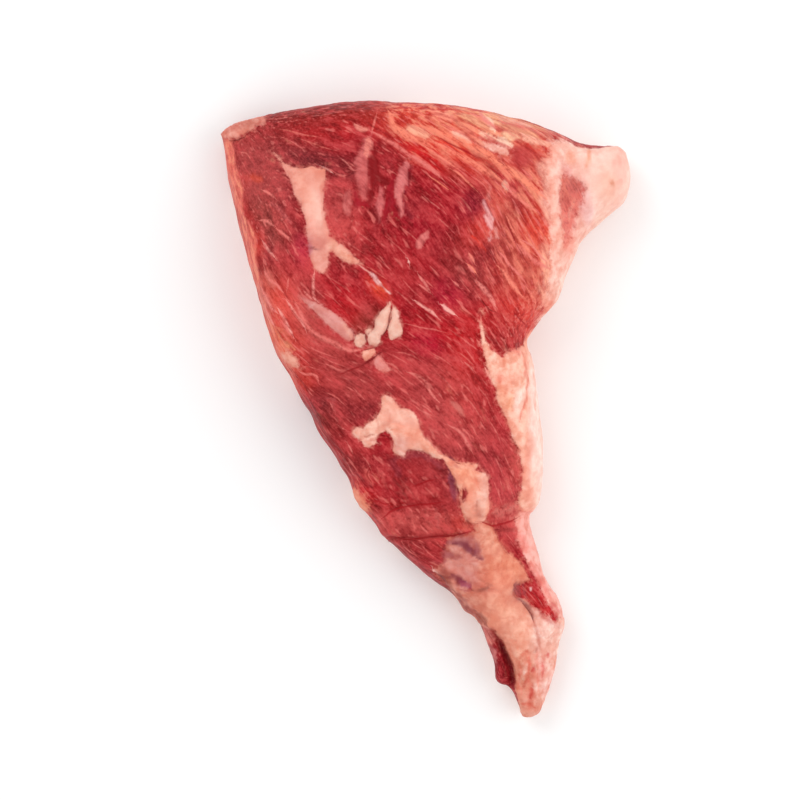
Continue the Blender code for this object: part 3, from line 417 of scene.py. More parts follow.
# Dark or bloody places on the fat: x, y, reach x, reach y, turn, colour, strength
STAINS = (
    (572, 202, 12, 26, 0, (238, 156, 142), 0.6), (566, 172, 5, 8, -30, (232, 150, 146), 0.5), (566, 242, 5, 8, 0, (246, 156, 138), 0.7),
    (610.5, 182.5, 1.6, 2.6, 0, (196, 112, 80), 0.85), (607, 186, 7, 12, 0, (244, 168, 142), 0.45), (570, 157, 5, 5, 0, (246, 160, 128), 0.5),
    (549, 160, 7, 12, 0, (248, 166, 146), 0.6), (551, 196, 4, 30, -4, (250, 176, 156), 0.6), (552, 250, 5, 26, 6, (250, 178, 158), 0.5),
    (546, 638, 14, 22, 0, (252, 212, 200), 0.95), (546, 690, 8, 20, 0, (248, 192, 180), 0.7), (520, 628, 9, 16, -20, (248, 182, 160), 0.6),
    (500, 612, 8, 10, 40, (238, 154, 128), 0.5), (508, 566, 10, 9, 40, (240, 150, 120), 0.6),
    (541, 305, 10, 10, 40, (240, 130, 104), 0.7), (600, 232, 18, 10, -45, (249, 186, 162), 0.5), (585, 205, 5, 16, -10, (244, 196, 196), 0.5),
    (619, 160, 5, 20, 0, (242, 160, 144), 0.35), (588, 156, 1.5, 7, 5, (246, 176, 150), 0.8),
    (465, 560, 20, 15, 20, (208, 122, 110), 0.75), (466, 580, 12, 8, 25, (206, 126, 120), 0.6), (470, 548, 14, 8, 30, (204, 126, 118), 0.5), (455, 566, 10, 4, 10, (226, 150, 138), 0.5),
    (443, 572, 5, 5, 0, (180, 96, 90), 0.7), (480, 601, 12, 8, 30, (214, 132, 114), 0.6), (544, 680, 6, 12, 0, (246, 186, 174), 0.7),
    (530, 701, 10, 8, 0, (218, 134, 114), 0.6), (492, 545, 8, 8, 40, (240, 160, 134), 0.5), (494, 605, 10, 6, 30, (238, 158, 132), 0.5),
    (485, 590, 8, 1.6, -8, (190, 106, 92), 0.7), (480, 585, 7, 1.4, 20, (190, 100, 90), 0.6),
    (519, 592, 8, 9, 0, (206, 136, 124), 0.6),
    # these three thin rows paint the crease between the tail's fat lobes darker: painted shade
    (524, 604, 8, 1.5, 45, (150, 92, 90), 0.8), (531, 614, 1.6, 7, -10, (190, 116, 104), 0.8), (537, 636, 1.4, 12, -8, (214, 132, 118), 0.8),
    (459, 503, 3, 4, 0, (196, 90, 90), 0.6), (468, 517, 3, 2.4, 0, (190, 86, 80), 0.8),
    (471, 525, 4, 3, 0, (206, 112, 98), 0.6), (520, 510, 9, 3, 0, (232, 120, 100), 0.4),
    (546, 655, 2, 2.2, 0, (222, 90, 84), 0.8), (533, 669, 1.8, 2.6, 0, (206, 76, 72), 0.8), (530.5, 693, 1.6, 6, 4, (214, 92, 78), 0.8),
    (527, 660, 2, 9, 0, (232, 122, 104), 0.6), (541, 664, 1.6, 9, 0, (226, 108, 96), 0.6), (535, 655, 1.4, 6, 5, (232, 116, 100), 0.6),
    (518, 640, 8, 24, -20, (248, 176, 150), 0.5), (550, 640, 9, 18, 0, (250, 196, 180), 0.6), (534, 706, 11, 8, 0, (240, 170, 152), 0.5),
    (549, 620, 8, 2.4, 40, (206, 90, 90), 0.4), (556, 613, 3, 2.4, 0, (220, 108, 104), 0.4), (551, 607, 2.6, 2, 0, (228, 120, 112), 0.4),
    (503, 575, 16, 12, 20, (234, 142, 112), 0.5), (497, 560, 12, 10, 30, (232, 146, 120), 0.5),
    (524, 372, 1.4, 12, -4, (232, 120, 98), 0.7),
    (499, 380, 3, 4, 0, (226, 98, 78), 0.7), (503, 396, 4, 10, -14, (244, 150, 118), 0.6), (511, 403, 2.4, 6, 0, (246, 158, 120), 0.6),
    (504, 362, 1.6, 4, 0, (236, 140, 110), 0.6), (531, 440, 2, 24, 2, (240, 150, 130), 0.5), (527, 470, 3, 30, 0, (238, 136, 116), 0.5),
    (539, 455, 5, 55, 0, (254, 216, 204), 0.9), (534, 400, 4.5, 50, 0, (254, 218, 206), 0.9), (528, 340, 5, 9, 0, (246, 160, 136), 0.6),
    (519, 398, 3.5, 12, 10, (254, 218, 204), 0.8), (514, 378, 5, 10, 0, (250, 190, 168), 0.6), (516, 352, 4, 4, 0, (240, 130, 114), 0.6),
    (531, 330, 5, 5, 0, (238, 96, 70), 0.6),
    (316, 210, 6.5, 14, -8, (252, 200, 184), 0.9), (290, 180, 8, 12, -30, (234, 152, 138), 0.6), (320, 178, 5, 8, 0, (238, 158, 138), 0.6),
    (316, 244, 9, 6, 0, (214, 132, 122), 0.75), (319, 263, 6, 8, 0, (230, 156, 142), 0.7), (308, 250, 3, 8, 0, (182, 94, 112), 0.8),
    (311, 236, 3, 9, -6, (222, 140, 128), 0.6), (300, 176, 9, 6, -10, (232, 150, 132), 0.5), (324, 200, 2.4, 14, 0, (228, 140, 126), 0.5),
    (312, 222, 4, 12, -10, (244, 168, 152), 0.5), (345, 256, 10, 4, 35, (246, 178, 154), 0.6), (334, 246, 5, 4, 0, (246, 186, 166), 0.6),
    (313, 249, 4, 0.9, 5, (150, 84, 84), 0.8), (306, 190, 6, 16, -20, (247, 170, 148), 0.4), (318, 170, 10, 4, 0, (240, 148, 124), 0.4),
    (364, 436, 8, 6, 0, (253, 208, 192), 0.6), (390, 404, 5, 7, 0, (246, 176, 158), 0.4), (403, 416, 8, 6, 30, (252, 200, 182), 0.5),
    (414, 432, 6, 6, 40, (232, 142, 116), 0.6), (428, 446, 9, 4, 40, (238, 150, 124), 0.6), (481, 498, 5, 16, 0, (251, 198, 180), 0.7),
    (470, 483, 6, 6, 0, (240, 152, 122), 0.5), (466, 509, 4, 7, 0, (238, 156, 132), 0.6), (486, 478, 3, 4, 0, (251, 200, 184), 0.6),
    (398, 425, 6, 3, 0, (246, 150, 124), 0.5), (410, 436, 8, 6, 0, (247, 160, 136), 0.5), (402, 446, 5, 7, 0, (232, 176, 166), 0.6),
    (362, 433, 8, 5, 0, (246, 188, 168), 0.5), (372, 440, 5, 1.2, 10, (196, 88, 80), 0.5), (385, 424, 2.4, 5, 40, (226, 140, 122), 0.5),
    (462, 472, 8, 4, 20, (244, 146, 110), 0.5), (484, 490, 3.4, 10, 0, (236, 176, 160), 0.6), (478, 506, 4, 9, 0, (232, 160, 142), 0.5),
    (457, 465, 4, 1.4, 30, (196, 96, 84), 0.6), (466, 505, 3, 6, 0, (238, 164, 146), 0.5), (480, 513, 3, 2, 0, (198, 120, 106), 0.6),
    (238, 133, 10, 2.4, -14, (240, 160, 142), 0.5), (252, 125, 6, 3.4, -14, (206, 134, 118), 0.5),
)

# How fatty the lean is, so how many pale threads it has: x, y, reach x, reach y, turn, value from 0 to 1
MARBLING = (
    (470, 125, 60, 18, 12, 0.95), (430, 135, 34, 22, 24, 0.75), (500, 165, 40, 22, 30, 0.75), (530, 200, 26, 30, 40, 0.7),
    (535, 270, 26, 40, -10, 0.8), (505, 235, 20, 40, 0, 0.5), (510, 300, 26, 24, 0, 0.45), (300, 130, 50, 14, 10, 0.25),
    (262, 300, 16, 40, -20, 0.6), (285, 340, 16, 24, -30, 0.6), (272, 215, 14, 24, -20, 0.4), (262, 165, 14, 20, 0, 0.3),
    (330, 330, 40, 20, 35, 0.25), (420, 320, 40, 26, 35, 0.35), (470, 350, 30, 26, 45, 0.3), (430, 400, 40, 26, 40, 0.3),
    (345, 220, 16, 30, 0, 0.25), (400, 240, 40, 30, 40, 0.08), (366, 115, 12, 8, 0, 0.0), (467, 175, 11, 7, 30, 0.25), (450, 200, 26, 20, 40, 0.25), (310, 160, 30, 12, 14, 0.0),
    (415, 480, 26, 24, 0, 0.28), (505, 480, 16, 26, 0, 0.3), (490, 425, 16, 26, 60, 0.35), (420, 525, 34, 10, 0, 0.2), (498, 655, 14, 24, 0, 0.0),
    (365, 470, 20, 26, 0, 0.3), (350, 385, 40, 16, 0, 0.15), (320, 362, 30, 10, 10, 0.35), (540, 603, 14, 8, 38, 0.0),
    (515, 540, 12, 20, 30, 0.2), (515, 515, 20, 6, 0, 0.5), (425, 552, 22, 10, 20, 0.15),
    (520, 157, 9, 8, 15, 0.0), (542, 160, 8, 10, 0, 0.8), (400, 522, 24, 8, 5, 0.5), (545, 225, 7, 30, 0, 0.9),
)
MARBLING_BASE = (0.16, 0.25)

# Where fat is crumpled or creased: x, y, reach x, reach y, turn, value
CRUMPLE = (
    (500, 134, 42, 18, 16, 1.0), (460, 122, 24, 12, 10, 0.5), (470, 560, 30, 26, 30, 0.8), (515, 592, 10, 8, 0, 1.0),
    (535, 670, 20, 40, 0, 0.5), (474, 495, 18, 32, 0, 0.7), (395, 432, 34, 24, 20, 0.7), (505, 605, 40, 44, 40, 0.5),
    (240, 124, 30, 16, 0, 0.8), (365, 345, 22, 18, 0, 0.4),
)

# Where the colours are even: x, y, reach x, reach y, turn, value
CALM = (
    (605, 178, 34, 40, 0, 1.0), (536, 430, 10, 90, 0, 0.8), (258, 172, 18, 30, 0, 0.8), (308, 152, 34, 10, 12, 0.6),
    (420, 520, 34, 10, 0, 0.3), (314, 205, 14, 44, -6, 0.95), (330, 360, 26, 10, 20, 0.5), (400, 426, 34, 18, 35, 0.65),
    (385, 325, 18, 20, 0, 0.7), (328, 318, 26, 12, 40, 0.6), (474, 495, 14, 28, 0, 0.5), (274, 325, 8, 40, -28, 0.4),
    (520, 156, 10, 8, 15, 0.6), (572, 208, 14, 34, 0, 0.5), (505, 485, 16, 22, 0, 0.15), (240, 250, 12, 90, -18, 0.6),
    (500, 612, 26, 38, 40, 0.5), (464, 566, 16, 18, 30, 0.4), (426, 210, 12, 9, 35, 0.7), (402, 244, 18, 12, 30, 0.35),
    (462, 268, 10, 8, 0, 0.65), (366, 114, 8, 6, 0, 0.4),
)

# Where the edge is eased in (negative) or out: x, y, reach x, reach y, turn, mm
PULL = (
    (528, 116, 22, 8, 20, -0.7), (456, 104, 34, 8, 0, -0.6), (316, 105, 22, 8, 0, -0.5), (466, 609, 9, 8, 0, 2.6), (480, 622, 7, 6, 0, 1.2), (499, 681, 6, 6, 0, 1.8), (522, 716, 5, 4, 0, 1.6),
    (384, 534, 6, 8, 0, 1.2), (227, 165, 6, 20, 0, 0.8), (345, 464, 6, 8, 0, 0.8), (290, 376, 8, 10, 0, -0.8), (312, 414, 8, 8, 0, -0.8),
    (536, 344, 6, 5, 0, -2.6), (511, 114, 8, 6, 20, -0.8),
)

# ------------------------------------------------------------------ pale threads and seams: width, shade (-1 orange, 0 pink, 1 cream), points
THREADS = (
    (4.0, 0.0, (372.6, 132), (385, 139), (396.5, 146), (410.5, 156), (419, 160.5), (430.6, 168.5), (444.4, 181)),
    (6.4, -0.4, (388, 111), (391, 117), (393, 124), (399, 130), (406, 136), (416, 140), (426, 143.5), (434, 149)),
    (1.7, 0.3, (340.6, 158), (346, 162.5), (350, 166.5), (354, 170.5)),
    (7.0, -0.45, (428, 128), (443, 134), (455, 138.5), (467, 143.5), (480, 149.5), (492, 158), (505, 168), (518, 177.5), (530, 186), (546, 199)),
    (5.0, -0.35, (430, 141), (442, 146.5), (455, 153), (466, 159), (476.5, 165.5), (488, 173.5), (497, 178.5), (503, 183), (507, 188.5)),
    (2.2, -0.1, (377, 114), (374.5, 123), (372, 132)),
    (2.6, -0.3, (424, 146), (434, 153), (445, 160), (455, 167)),
    (3.0, -0.2, (507, 187), (516, 196), (526, 204), (536, 211)), (2.6, -0.2, (470, 114), (483, 121), (494, 127), (505, 131), (516, 138)),
    (3.2, 0.3, (478, 111), (482, 118), (489, 124), (497, 131)), (3.2, -0.1, (500, 122), (515, 126), (530, 131), (544, 137)),
    (2.2, -0.3, (405, 112), (416, 114), (428, 117), (440, 122)), (2.4, -0.4, (410, 124), (422, 127), (434, 131), (444, 137), (455, 142)),
    (2.2, -0.2, (440, 124), (452, 129), (464, 135), (474, 142)), (2.4, 0.1, (484, 134), (493, 140), (503, 145), (512, 149)),
    (2.0, -0.3, (450, 168), (461, 175), (470, 184), (478, 192)), (1.6, -0.5, (429, 176), (440, 184), (449, 190)),
    (3.0, 0.2, (505, 183), (508, 188), (512, 193)), (2.6, -0.3, (507, 217), (511, 227), (516.3, 237), (523, 244), (530, 251), (537, 257)),
    (4.6, -0.1, (516, 243), (524, 252), (533, 259.5), (541, 264.5), (549, 269)), (2.4, 0.1, (498, 251), (504, 258), (510, 266), (518, 274), (526, 284)),
    (4.2, -0.3, (498, 266.5), (503, 273), (508, 279.5), (514, 287), (521, 295)), (3.0, -0.3, (524, 286), (531, 295), (536, 304)),
    (4.6, 0.3, (478.6, 282), (484, 289), (489.8, 296.3), (495.5, 306)), (2.6, -0.4, (467.4, 264), (472, 268.5), (476, 273)),
    (2.2, -0.2, (535, 228), (542, 238), (549, 246)),
    (2.2, 0.3, (522, 240), (532, 246), (540, 256), (546, 262)),
    (1.9, 0.5, (320, 165.5), (326, 168.5), (333, 173.5)), (2.2, 0.9, (408, 260), (409.4, 264)), (2.6, 0.2, (453, 281.5), (459.7, 287)),
    (3.0, -0.2, (468.8, 253.4), (474, 262.5)), (3.0, 0.0, (467.5, 265), (474, 273)), (2.2, 0.3, (418, 274), (424, 282), (430, 291)),
    # left part
    (1.4, 0.0, (289.8, 140.5), (296, 144), (303, 149.5)), (1.3, -0.2, (300, 139), (312, 143), (324, 147.5), (333, 150)),
    (1.3, -0.2, (276, 129), (290, 131), (305, 135), (318, 137)), (1.2, 0.1, (312, 116), (328, 114), (345, 111)),
    (1.2, 0.0, (268, 120), (282, 118), (296, 114)), (1.5, -0.1, (240, 152), (247, 154), (251, 160)),
    (2.4, 0.1, (262, 190), (270, 194), (276, 199)), (3.0, 0.2, (260, 220.5), (267, 221.5), (274, 226)), (2.6, 0.1, (277, 229), (285, 235), (292, 241)),
    (2.2, 0.4, (262, 240), (266, 246), (271, 253), (276, 259)), (1.4, 0.0, (284, 222), (289, 230), (292, 236)),
    (2.6, 0.2, (264.5, 266), (266.5, 273), (270, 280), (276, 284), (281, 290), (284.5, 293.5)), (1.8, 0.2, (288.8, 278), (288, 285), (286.5, 292)),
    (3.2, 0.3, (260, 286), (264, 293), (268, 300), (273, 308), (278, 313)), (3.0, 0.35, (258, 292), (263, 304), (269, 316), (275, 326)),
    (2.7, 0.4, (314.5, 272), (313.5, 281), (313.3, 290), (314.5, 298), (319, 303)), (2.0, 0.3, (304, 290), (308, 295), (313, 300)),
    (5.0, 0.12, (297, 305), (303, 318), (309.5, 329), (318, 335.5), (331, 341), (343.5, 348), (352, 351), (361.7, 349.6)),
    (2.6, 0.4, (286, 300), (291, 307), (296, 314.5), (302, 322), (306, 331)), (2.6, 0.5, (278, 308), (284, 318), (290, 330), (294, 337)),
    (2.4, 0.1, (282.5, 317), (286, 326), (290, 334)), (1.4, -0.1, (281, 298), (290, 301), (299, 304)),
    (2.6, 0.0, (300, 372), (306, 374.5), (312.4, 374), (316.5, 376.5), (319, 382.5)), (1.3, 0.1, (304, 366.5), (311, 367), (318, 369.5)),
    (1.3, 0.1, (323.8, 363.7), (331, 366), (339.3, 369.3), (346, 370)), (1.2, 0.0, (318, 355), (330, 361), (344, 366)),
    (1.2, 0.0, (308, 347), (320, 352), (333, 357)), (1.5, 0.2, (329.4, 402), (331.5, 405), (334, 410)), (1.8, 0.2, (337, 424), (341, 428), (345, 430)),
    (1.6, 0.3, (347.5, 444), (350.5, 449), (353, 454)), (1.4, 0.1, (341, 453), (347, 463), (352, 473), (357, 482)),
    (1.4, 0.0, (362, 456), (368, 463), (372, 471)), (1.3, 0.1, (350.5, 411.4), (353, 415), (355, 418.5)),
    (1.2, 0.0, (353, 388), (360, 395), (366, 401)), (1.3, -0.1, (324, 392), (336, 397), (345, 405)),
    # middle
    (1.8, 0.5, (359, 265), (366, 270), (372, 274)), (1.4, -0.2, (366, 266), (376, 272), (386, 279)),
    (1.4, 0.1, (395.4, 352.4), (401, 352.5), (408, 354), (415, 357), (422, 361)), (2.0, 0.0, (385, 363), (391, 364), (399, 369)),
    (1.6, 0.1, (408, 372), (415, 376), (422, 382), (430.5, 391.7), (438.9, 401.5)), (2.4, 0.2, (407, 372), (416, 374.5), (424, 379), (431, 393), (439, 402)),
    (1.8, 0.4, (416.4, 303.3), (422, 306), (427.7, 310.3), (438.9, 318.8)), (2.6, 0.5, (414, 300), (419, 303.5), (425.3, 307.5), (431, 311.5), (437, 316.5)),
    (2.8, 0.6, (440.7, 304.7), (445, 307.5), (449.1, 310.6), (456.1, 315.3)), (2.0, 0.2, (418.2, 283.7), (424, 288), (431, 293.5)),
    (1.4, 0.1, (447.7, 328.6), (456, 334), (464.5, 340), (478.6, 351)), (1.4, 0.2, (402.8, 323), (412, 325), (421, 327.2), (434, 329.5), (446.3, 333)),
    (1.6, 0.2, (415, 405.8), (423.5, 411.4), (432, 415.6)), (1.6, 0.2, (421, 404.3), (427, 408), (432.3, 412.8)),
    (2.6, 0.2, (449.1, 425.4), (455, 428.5), (460.3, 432.4), (464.5, 438), (467.4, 443.6), (473, 453.5)), (1.6, 0.1, (470.2, 424), (473.5, 429), (477.2, 435.2)),
    (3.0, 0.4, (485, 367.5), (488, 373.5), (491.5, 380.5)), (1.8, 0.3, (464.5, 362.2), (469, 366), (473, 371)),
    (1.3, 0.1, (400, 226), (412, 236), (424, 247)), (1.2, 0.0, (385, 236), (396, 245), (407, 256)), (1.3, 0.2, (342, 240), (352, 246), (363, 253)),
    (1.2, 0.1, (352, 226), (362, 235), (373, 243)), (1.4, 0.3, (424, 196), (432, 203), (441, 210)), (1.4, 0.2, (438, 218), (447, 226), (455, 234)),
    (1.2, 0.2, (372, 254), (382, 262), (392, 271)), (1.2, 0.1, (330, 278), (340, 284), (350, 292)), (1.1, 0.0, (322, 292), (333, 299), (343, 308)),
    (1.3, 0.2, (395, 290), (404, 297), (413, 306)), (1.2, 0.1, (402, 279), (412, 290), (421, 298)),
    (1.2, 0.1, (430, 352), (441, 358), (452, 366)), (1.4, -0.1, (458, 352), (466, 358), (474, 366)), (1.3, 0.2, (437, 373), (446, 381), (454, 391)),
    (1.5, 0.1, (467, 398), (475, 408), (482, 419)), (1.3, 0.0, (478, 386), (486, 397), (492, 409)), (1.2, 0.0, (489, 420), (496, 432), (501, 444)),
    # neck and tail
    (1.2, 0.0, (408, 543), (412, 550), (418, 556)), (1.2, 0.0, (420, 542), (426, 550), (434, 557)),
    (1.2, 0.0, (436, 541), (441, 547)),
    # the first entry here is a painted highlight: a short cream glint at the tail fat's left edge
    (2.4, 0.9, (433.5, 568.5), (436, 571)), (1.8, 0.2, (436, 449), (441, 453), (447, 458)),
    (1.3, 0.2, (494, 455), (499, 466), (504, 478)), (1.2, 0.1, (503, 452), (508, 463), (513, 476)), (1.2, 0.1, (493, 480), (498, 492), (502, 504)),
    (1.2, 0.1, (508, 482), (512, 493), (516, 503)), (1.2, 0.4, (487, 662), (491, 668)), (1.6, 0.2, (496, 636), (494, 641), (497, 646)),
    (1.6, 0.2, (481, 313), (481, 322), (483, 334)), (1.5, 0.2, (489.8, 306), (485, 308), (481.8, 313)), (1.3, 0.1, (490, 320), (496, 326), (501, 333)),
)

# ------------------------------------------------------------------ cracks and seams: width, depth in mm, redness 0 to 1, points
# a crack darkens the colour along its line as painted shade in the crease; its redness turns that darkening towards a
# blood red seam
CRACKS = (
    (1.7, 1.2, 0.3, (383, 352), (378, 355), (373, 359.5), (368, 362.5), (361, 366.5)), (2.0, 0.6, 0.6, (361, 366.5), (352, 370), (340, 374)),
    (2.6, 1.0, 0.9, (380.7, 519.5), (386, 516), (391, 512.5), (400, 509), (409, 507), (420, 505), (431, 503.5), (441, 502)),
    (2.3, 1.4, 0.75, (384, 536), (390, 537.5), (398, 539), (406, 539.5), (417, 538.5), (427, 537), (440, 535.5), (452, 535), (462, 533), (470, 531.5)),
    (2.2, 0.8, 0.8, (413, 486.5), (420, 484), (428, 481), (436, 479)),
    (2.4, 1.1, 1.0, (480, 521), (487, 524), (493, 526), (500, 525), (506, 523), (512, 520.5), (517.5, 517.5)),
    (1.4, 0.9, 0.1, (480, 299), (484, 303), (487.5, 306.5), (491, 310), (496, 312)),
    (1.5, 0.7, 0.3, (520, 601.5), (525, 607.5), (530.3, 613.7), (532.5, 621)),
    (1.5, 0.8, 0.0, (228, 141), (233, 140.5), (238, 139), (243, 137), (247, 135)),
    (1.3, 0.7, 0.9, (362, 486), (366, 491), (371, 494), (375, 493)), (1.6, 0.9, 1.0, (371, 503), (378, 502), (384, 505), (392, 504)),
    (1.4, 0.6, 0.3, (391.5, 309), (389.5, 318), (387, 329), (383, 335)), (1.2, 0.6, 0.4, (363, 350), (369, 349.5), (375.5, 347.5)),
    (1.3, 0.6, 0.2, (366.5, 333), (365, 337), (366.5, 343)), 
    (1.2, 0.5, 0.3, (455, 462), (462, 464)), (2.6, 1.4, 0.6, (463, 489), (463.5, 494), (462.5, 499)),
    (1.6, 0.5, 0.5, (506, 219), (511, 231), (516, 243)), (1.6, 0.6, 0.2, (392, 441), (388, 437), (381, 436)),
    (1.6, 0.6, 0.5, (372, 466), (367, 474), (372, 483)), (1.6, 0.5, 0.9, (513, 312), (520, 319), (527, 326)),
    (2.4, 0.5, 1.0, (438, 137.5), (447, 142), (457, 147), (466, 151), (476, 157)), (2.0, 0.5, 0.9, (486, 165), (495, 171), (502, 177)),
)

# The cleft between the tail's flap and its fat
CLEFT = ((491, 630), (497, 638), (502, 647), (507, 657), (511, 667), (512.5, 678), (512, 688))

# Run of the fibres on the plan: x, y, degrees below the x axis
GRAIN = (
    (310, 115, 4), (340, 115, 20), (400, 115, 38), (430, 115, 32), (460, 115, 30), (280, 145, 30), (310, 145, 17),
    (400, 145, 33), (430, 145, 29), (460, 145, 30), (490, 145, 29), (520, 145, 23), (250, 175, 50), (280, 175, 50),
    (310, 175, 32), (430, 175, 42), (460, 175, 37), (490, 175, 48), (520, 175, 43), (560, 175, 55), (250, 205, 60),
    (280, 205, 50), (430, 205, 41), (520, 205, 57), (250, 235, 59), (280, 235, 46), (340, 235, 53), (370, 235, 49),
    (400, 235, 55), (460, 235, 60), (490, 235, 72), (520, 235, 58), (280, 265, 55), (340, 265, 42), (370, 265, 44),
    (400, 265, 47), (430, 265, 55), (460, 265, 49), (490, 265, 54), (520, 265, 57), (280, 295, 56), (310, 295, 52),
    (340, 295, 42), (370, 295, 48), (430, 295, 40), (460, 295, 39), (490, 295, 58), (520, 295, 58), (280, 325, 51),
    (310, 325, 40), (340, 325, 39), (430, 325, 36), (460, 325, 41), (490, 325, 62), (520, 325, 51), (310, 355, 30),
    (340, 355, 28), (400, 355, 30), (430, 355, 38), (460, 355, 47), (490, 355, 57), (310, 385, 36), (340, 385, 26),
    (370, 385, 36), (400, 385, 36), (430, 385, 45), (460, 385, 57), (490, 385, 67), (340, 415, 50), (400, 415, 42),
    (430, 415, 50), (460, 415, 52), (490, 415, 66), (340, 445, 56), (430, 445, 46), (460, 445, 48), (490, 445, 57),
    (370, 475, 52), (400, 475, 52), (430, 475, 50), (490, 475, 68), (370, 505, 50), (430, 505, 60), (490, 505, 76),
    (430, 565, 28), (460, 565, 28), (490, 565, 43), (520, 565, 54), (490, 595, 52), (520, 595, 50), (490, 625, 54),
    (520, 625, 53), (550, 625, 48), (520, 655, 72), (520, 685, 82), (228, 160, 80), (230, 190, 80), (236, 220, 78),
    (244, 250, 76), (250, 280, 72), (258, 305, 68), (266, 330, 62), (280, 358, 58), (298, 385, 56),
)
GRAIN_REACH = 20.0
GRAIN_CELL = 6.0  # plan units


def spline(points, steps):
    """A smooth curve through the points, sampled evenly by length."""
    p = np.array(points, float)
    chord = np.maximum(np.linalg.norm(np.diff(p, axis=0), axis=1), 1e-6)
    knot = np.concatenate([[0.0], np.cumsum(chord)])
    slope = np.diff(p, axis=0) / chord[:, None]
    if len(p) > 2:
        inner = (slope[:-1] * chord[1:, None] + slope[1:] * chord[:-1, None]) / (chord[:-1] + chord[1:])[:, None]
        tangent = np.vstack([slope[:1], inner, slope[-1:]])
    else:
        tangent = np.vstack([slope[:1], slope[-1:]])
    t = np.linspace(0, knot[-1], steps * 4 + 1)
    i = np.clip(np.searchsorted(knot, t, side="right") - 1, 0, len(chord) - 1)
    f = ((t - knot[i]) / chord[i])[:, None]
    h = chord[i][:, None]
    fine = (
        (2 * f**3 - 3 * f**2 + 1) * p[i]
        + (f**3 - 2 * f**2 + f) * h * tangent[i]
        + (3 * f**2 - 2 * f**3) * p[i + 1]
        + (f**3 - f**2) * h * tangent[i + 1]
    )
    run = np.concatenate([[0.0], np.cumsum(np.linalg.norm(np.diff(fine, axis=0), axis=1))])
    even = np.linspace(0, run[-1], steps + 1)
    return np.column_stack([np.interp(even, run, fine[:, k]) for k in (0, 1)])


def along(curve, f):
    x = np.asarray(f, float) * (len(curve) - 1)
    return np.stack([np.interp(x, np.arange(len(curve)), curve[:, k]) for k in (0, 1)], -1)


def to_outline(points, outline):
    """The distance of each point from the closed outline."""
    a, b = outline, np.roll(outline, -1, axis=0)
    ab = b - a
    length2 = np.maximum((ab**2).sum(1), 1e-12)
    best = np.full(len(points), np.inf)
    for first in range(0, len(points), 500):
        p = points[first : first + 500, None, :]
        f = np.clip(((p - a) * ab).sum(-1) / length2, 0, 1)
        best[first : first + 500] = np.linalg.norm(p - (a + f[..., None] * ab), axis=-1).min(1)
    return best


def smooth(f):
    f = np.clip(f, 0, 1)
    return f * f * (3 - 2 * f)


def quarter_round(f, power=2.0):
    return (1 - (1 - np.clip(f, 0, 1)) ** power) ** (1 / power)


def crown(points):
    places, heights = np.array(CROWN, float)[:, :2], np.array(CROWN, float)[:, 2]
    felt = np.exp(-((points[:, None, :] - places) ** 2).sum(-1) / (2 * CROWN_REACH**2)) + 1e-9
    return (felt * heights).sum(1) / felt.sum(1)


def furrows(points):
    depth = np.zeros(len(points))
    for start, end, deep, half in FURROWS:
        a, ab = np.array(start), np.array(end) - np.array(start)
        f = ((points - a) @ ab) / (ab @ ab)
        gap = np.linalg.norm(points - (a + np.clip(f, 0, 1)[:, None] * ab), axis=1)
        depth += deep * np.exp(-((gap / half) ** 2))
    return depth


def form():
    """The body's grid in plan, its top and bottom heights, and the shift that puts the origin under its middle."""
    top, fat = spline(BROAD_END, EDGE_STEPS), spline(FAT_SIDE, EDGE_STEPS)
    tail, cut = spline(TAIL_END, EDGE_STEPS), spline(CUT_SIDE, EDGE_STEPS)
    spaced = lambda n: 0.5 * np.linspace(0, 1, n + 1) + 0.25 * (1 - np.cos(np.linspace(0, np.pi, n + 1)))
    s, t = np.meshgrid(spaced(ACROSS), spaced(ALONG), indexing="ij")
    left, right, broad, end = along(cut, t), along(fat, t), along(top, s), along(tail, s)
    s3, t3 = s[..., None], t[..., None]
    corners = (1 - s3) * (1 - t3) * top[0] + s3 * (1 - t3) * top[-1] + (1 - s3) * t3 * tail[0] + s3 * t3 * tail[-1]
    grid = (1 - s3) * left + s3 * right + (1 - t3) * broad + t3 * end - corners
    outline = np.vstack([top[:-1], fat[:-1], tail[::-1][:-1], cut[::-1][:-1]])
    half = (np.linalg.norm(right - left, axis=-1) / 2).ravel()
    flat = grid.reshape(-1, 2)
    inside = to_outline(flat, outline)
    rim = np.zeros(s.shape, bool)
    rim[0], rim[-1], rim[:, 0], rim[:, -1] = True, True, True, True
    inside[rim.ravel()] = 0.0
    share = s.ravel()
    height = crown(flat)
    waist = WAIST_CUT_SIDE + (WAIST_FAT_SIDE - WAIST_CUT_SIDE) * share
    turn = 2 * np.pi / WAVE_LENGTH
    waist = waist * (1 + WAIST_WAVE * np.sin(turn * flat[:, 1] + 2.0 * share) * np.cos(0.6 * turn * flat[:, 0]))
    waist = np.minimum(waist, WAIST_SHARE * height)
    roll = ROLL_CUT_SIDE + (ROLL_FAT_SIDE - ROLL_CUT_SIDE) * smooth(share)
    roll = roll + (ROLL_BROAD_END - roll) * smooth(1 - t.ravel() / 0.12)
    roll = np.minimum(roll, ROLL_SHARE * np.maximum(half, 3.0))
    tuck = np.minimum(TUCK, TUCK_SHARE * np.maximum(half, 3.0))
    rise = quarter_round(inside / roll, SQUARE_CUT_SIDE + (SQUARE_FAT_SIDE - SQUARE_CUT_SIDE) * share)
    high = waist + (height - furrows(flat) - waist) * rise
    low = waist * (1 - quarter_round(inside / tuck))
    middle = (flat.min(0) + flat.max(0)) / 2
    return grid - middle, high.reshape(s.shape), low.reshape(s.shape), outline - middle, middle


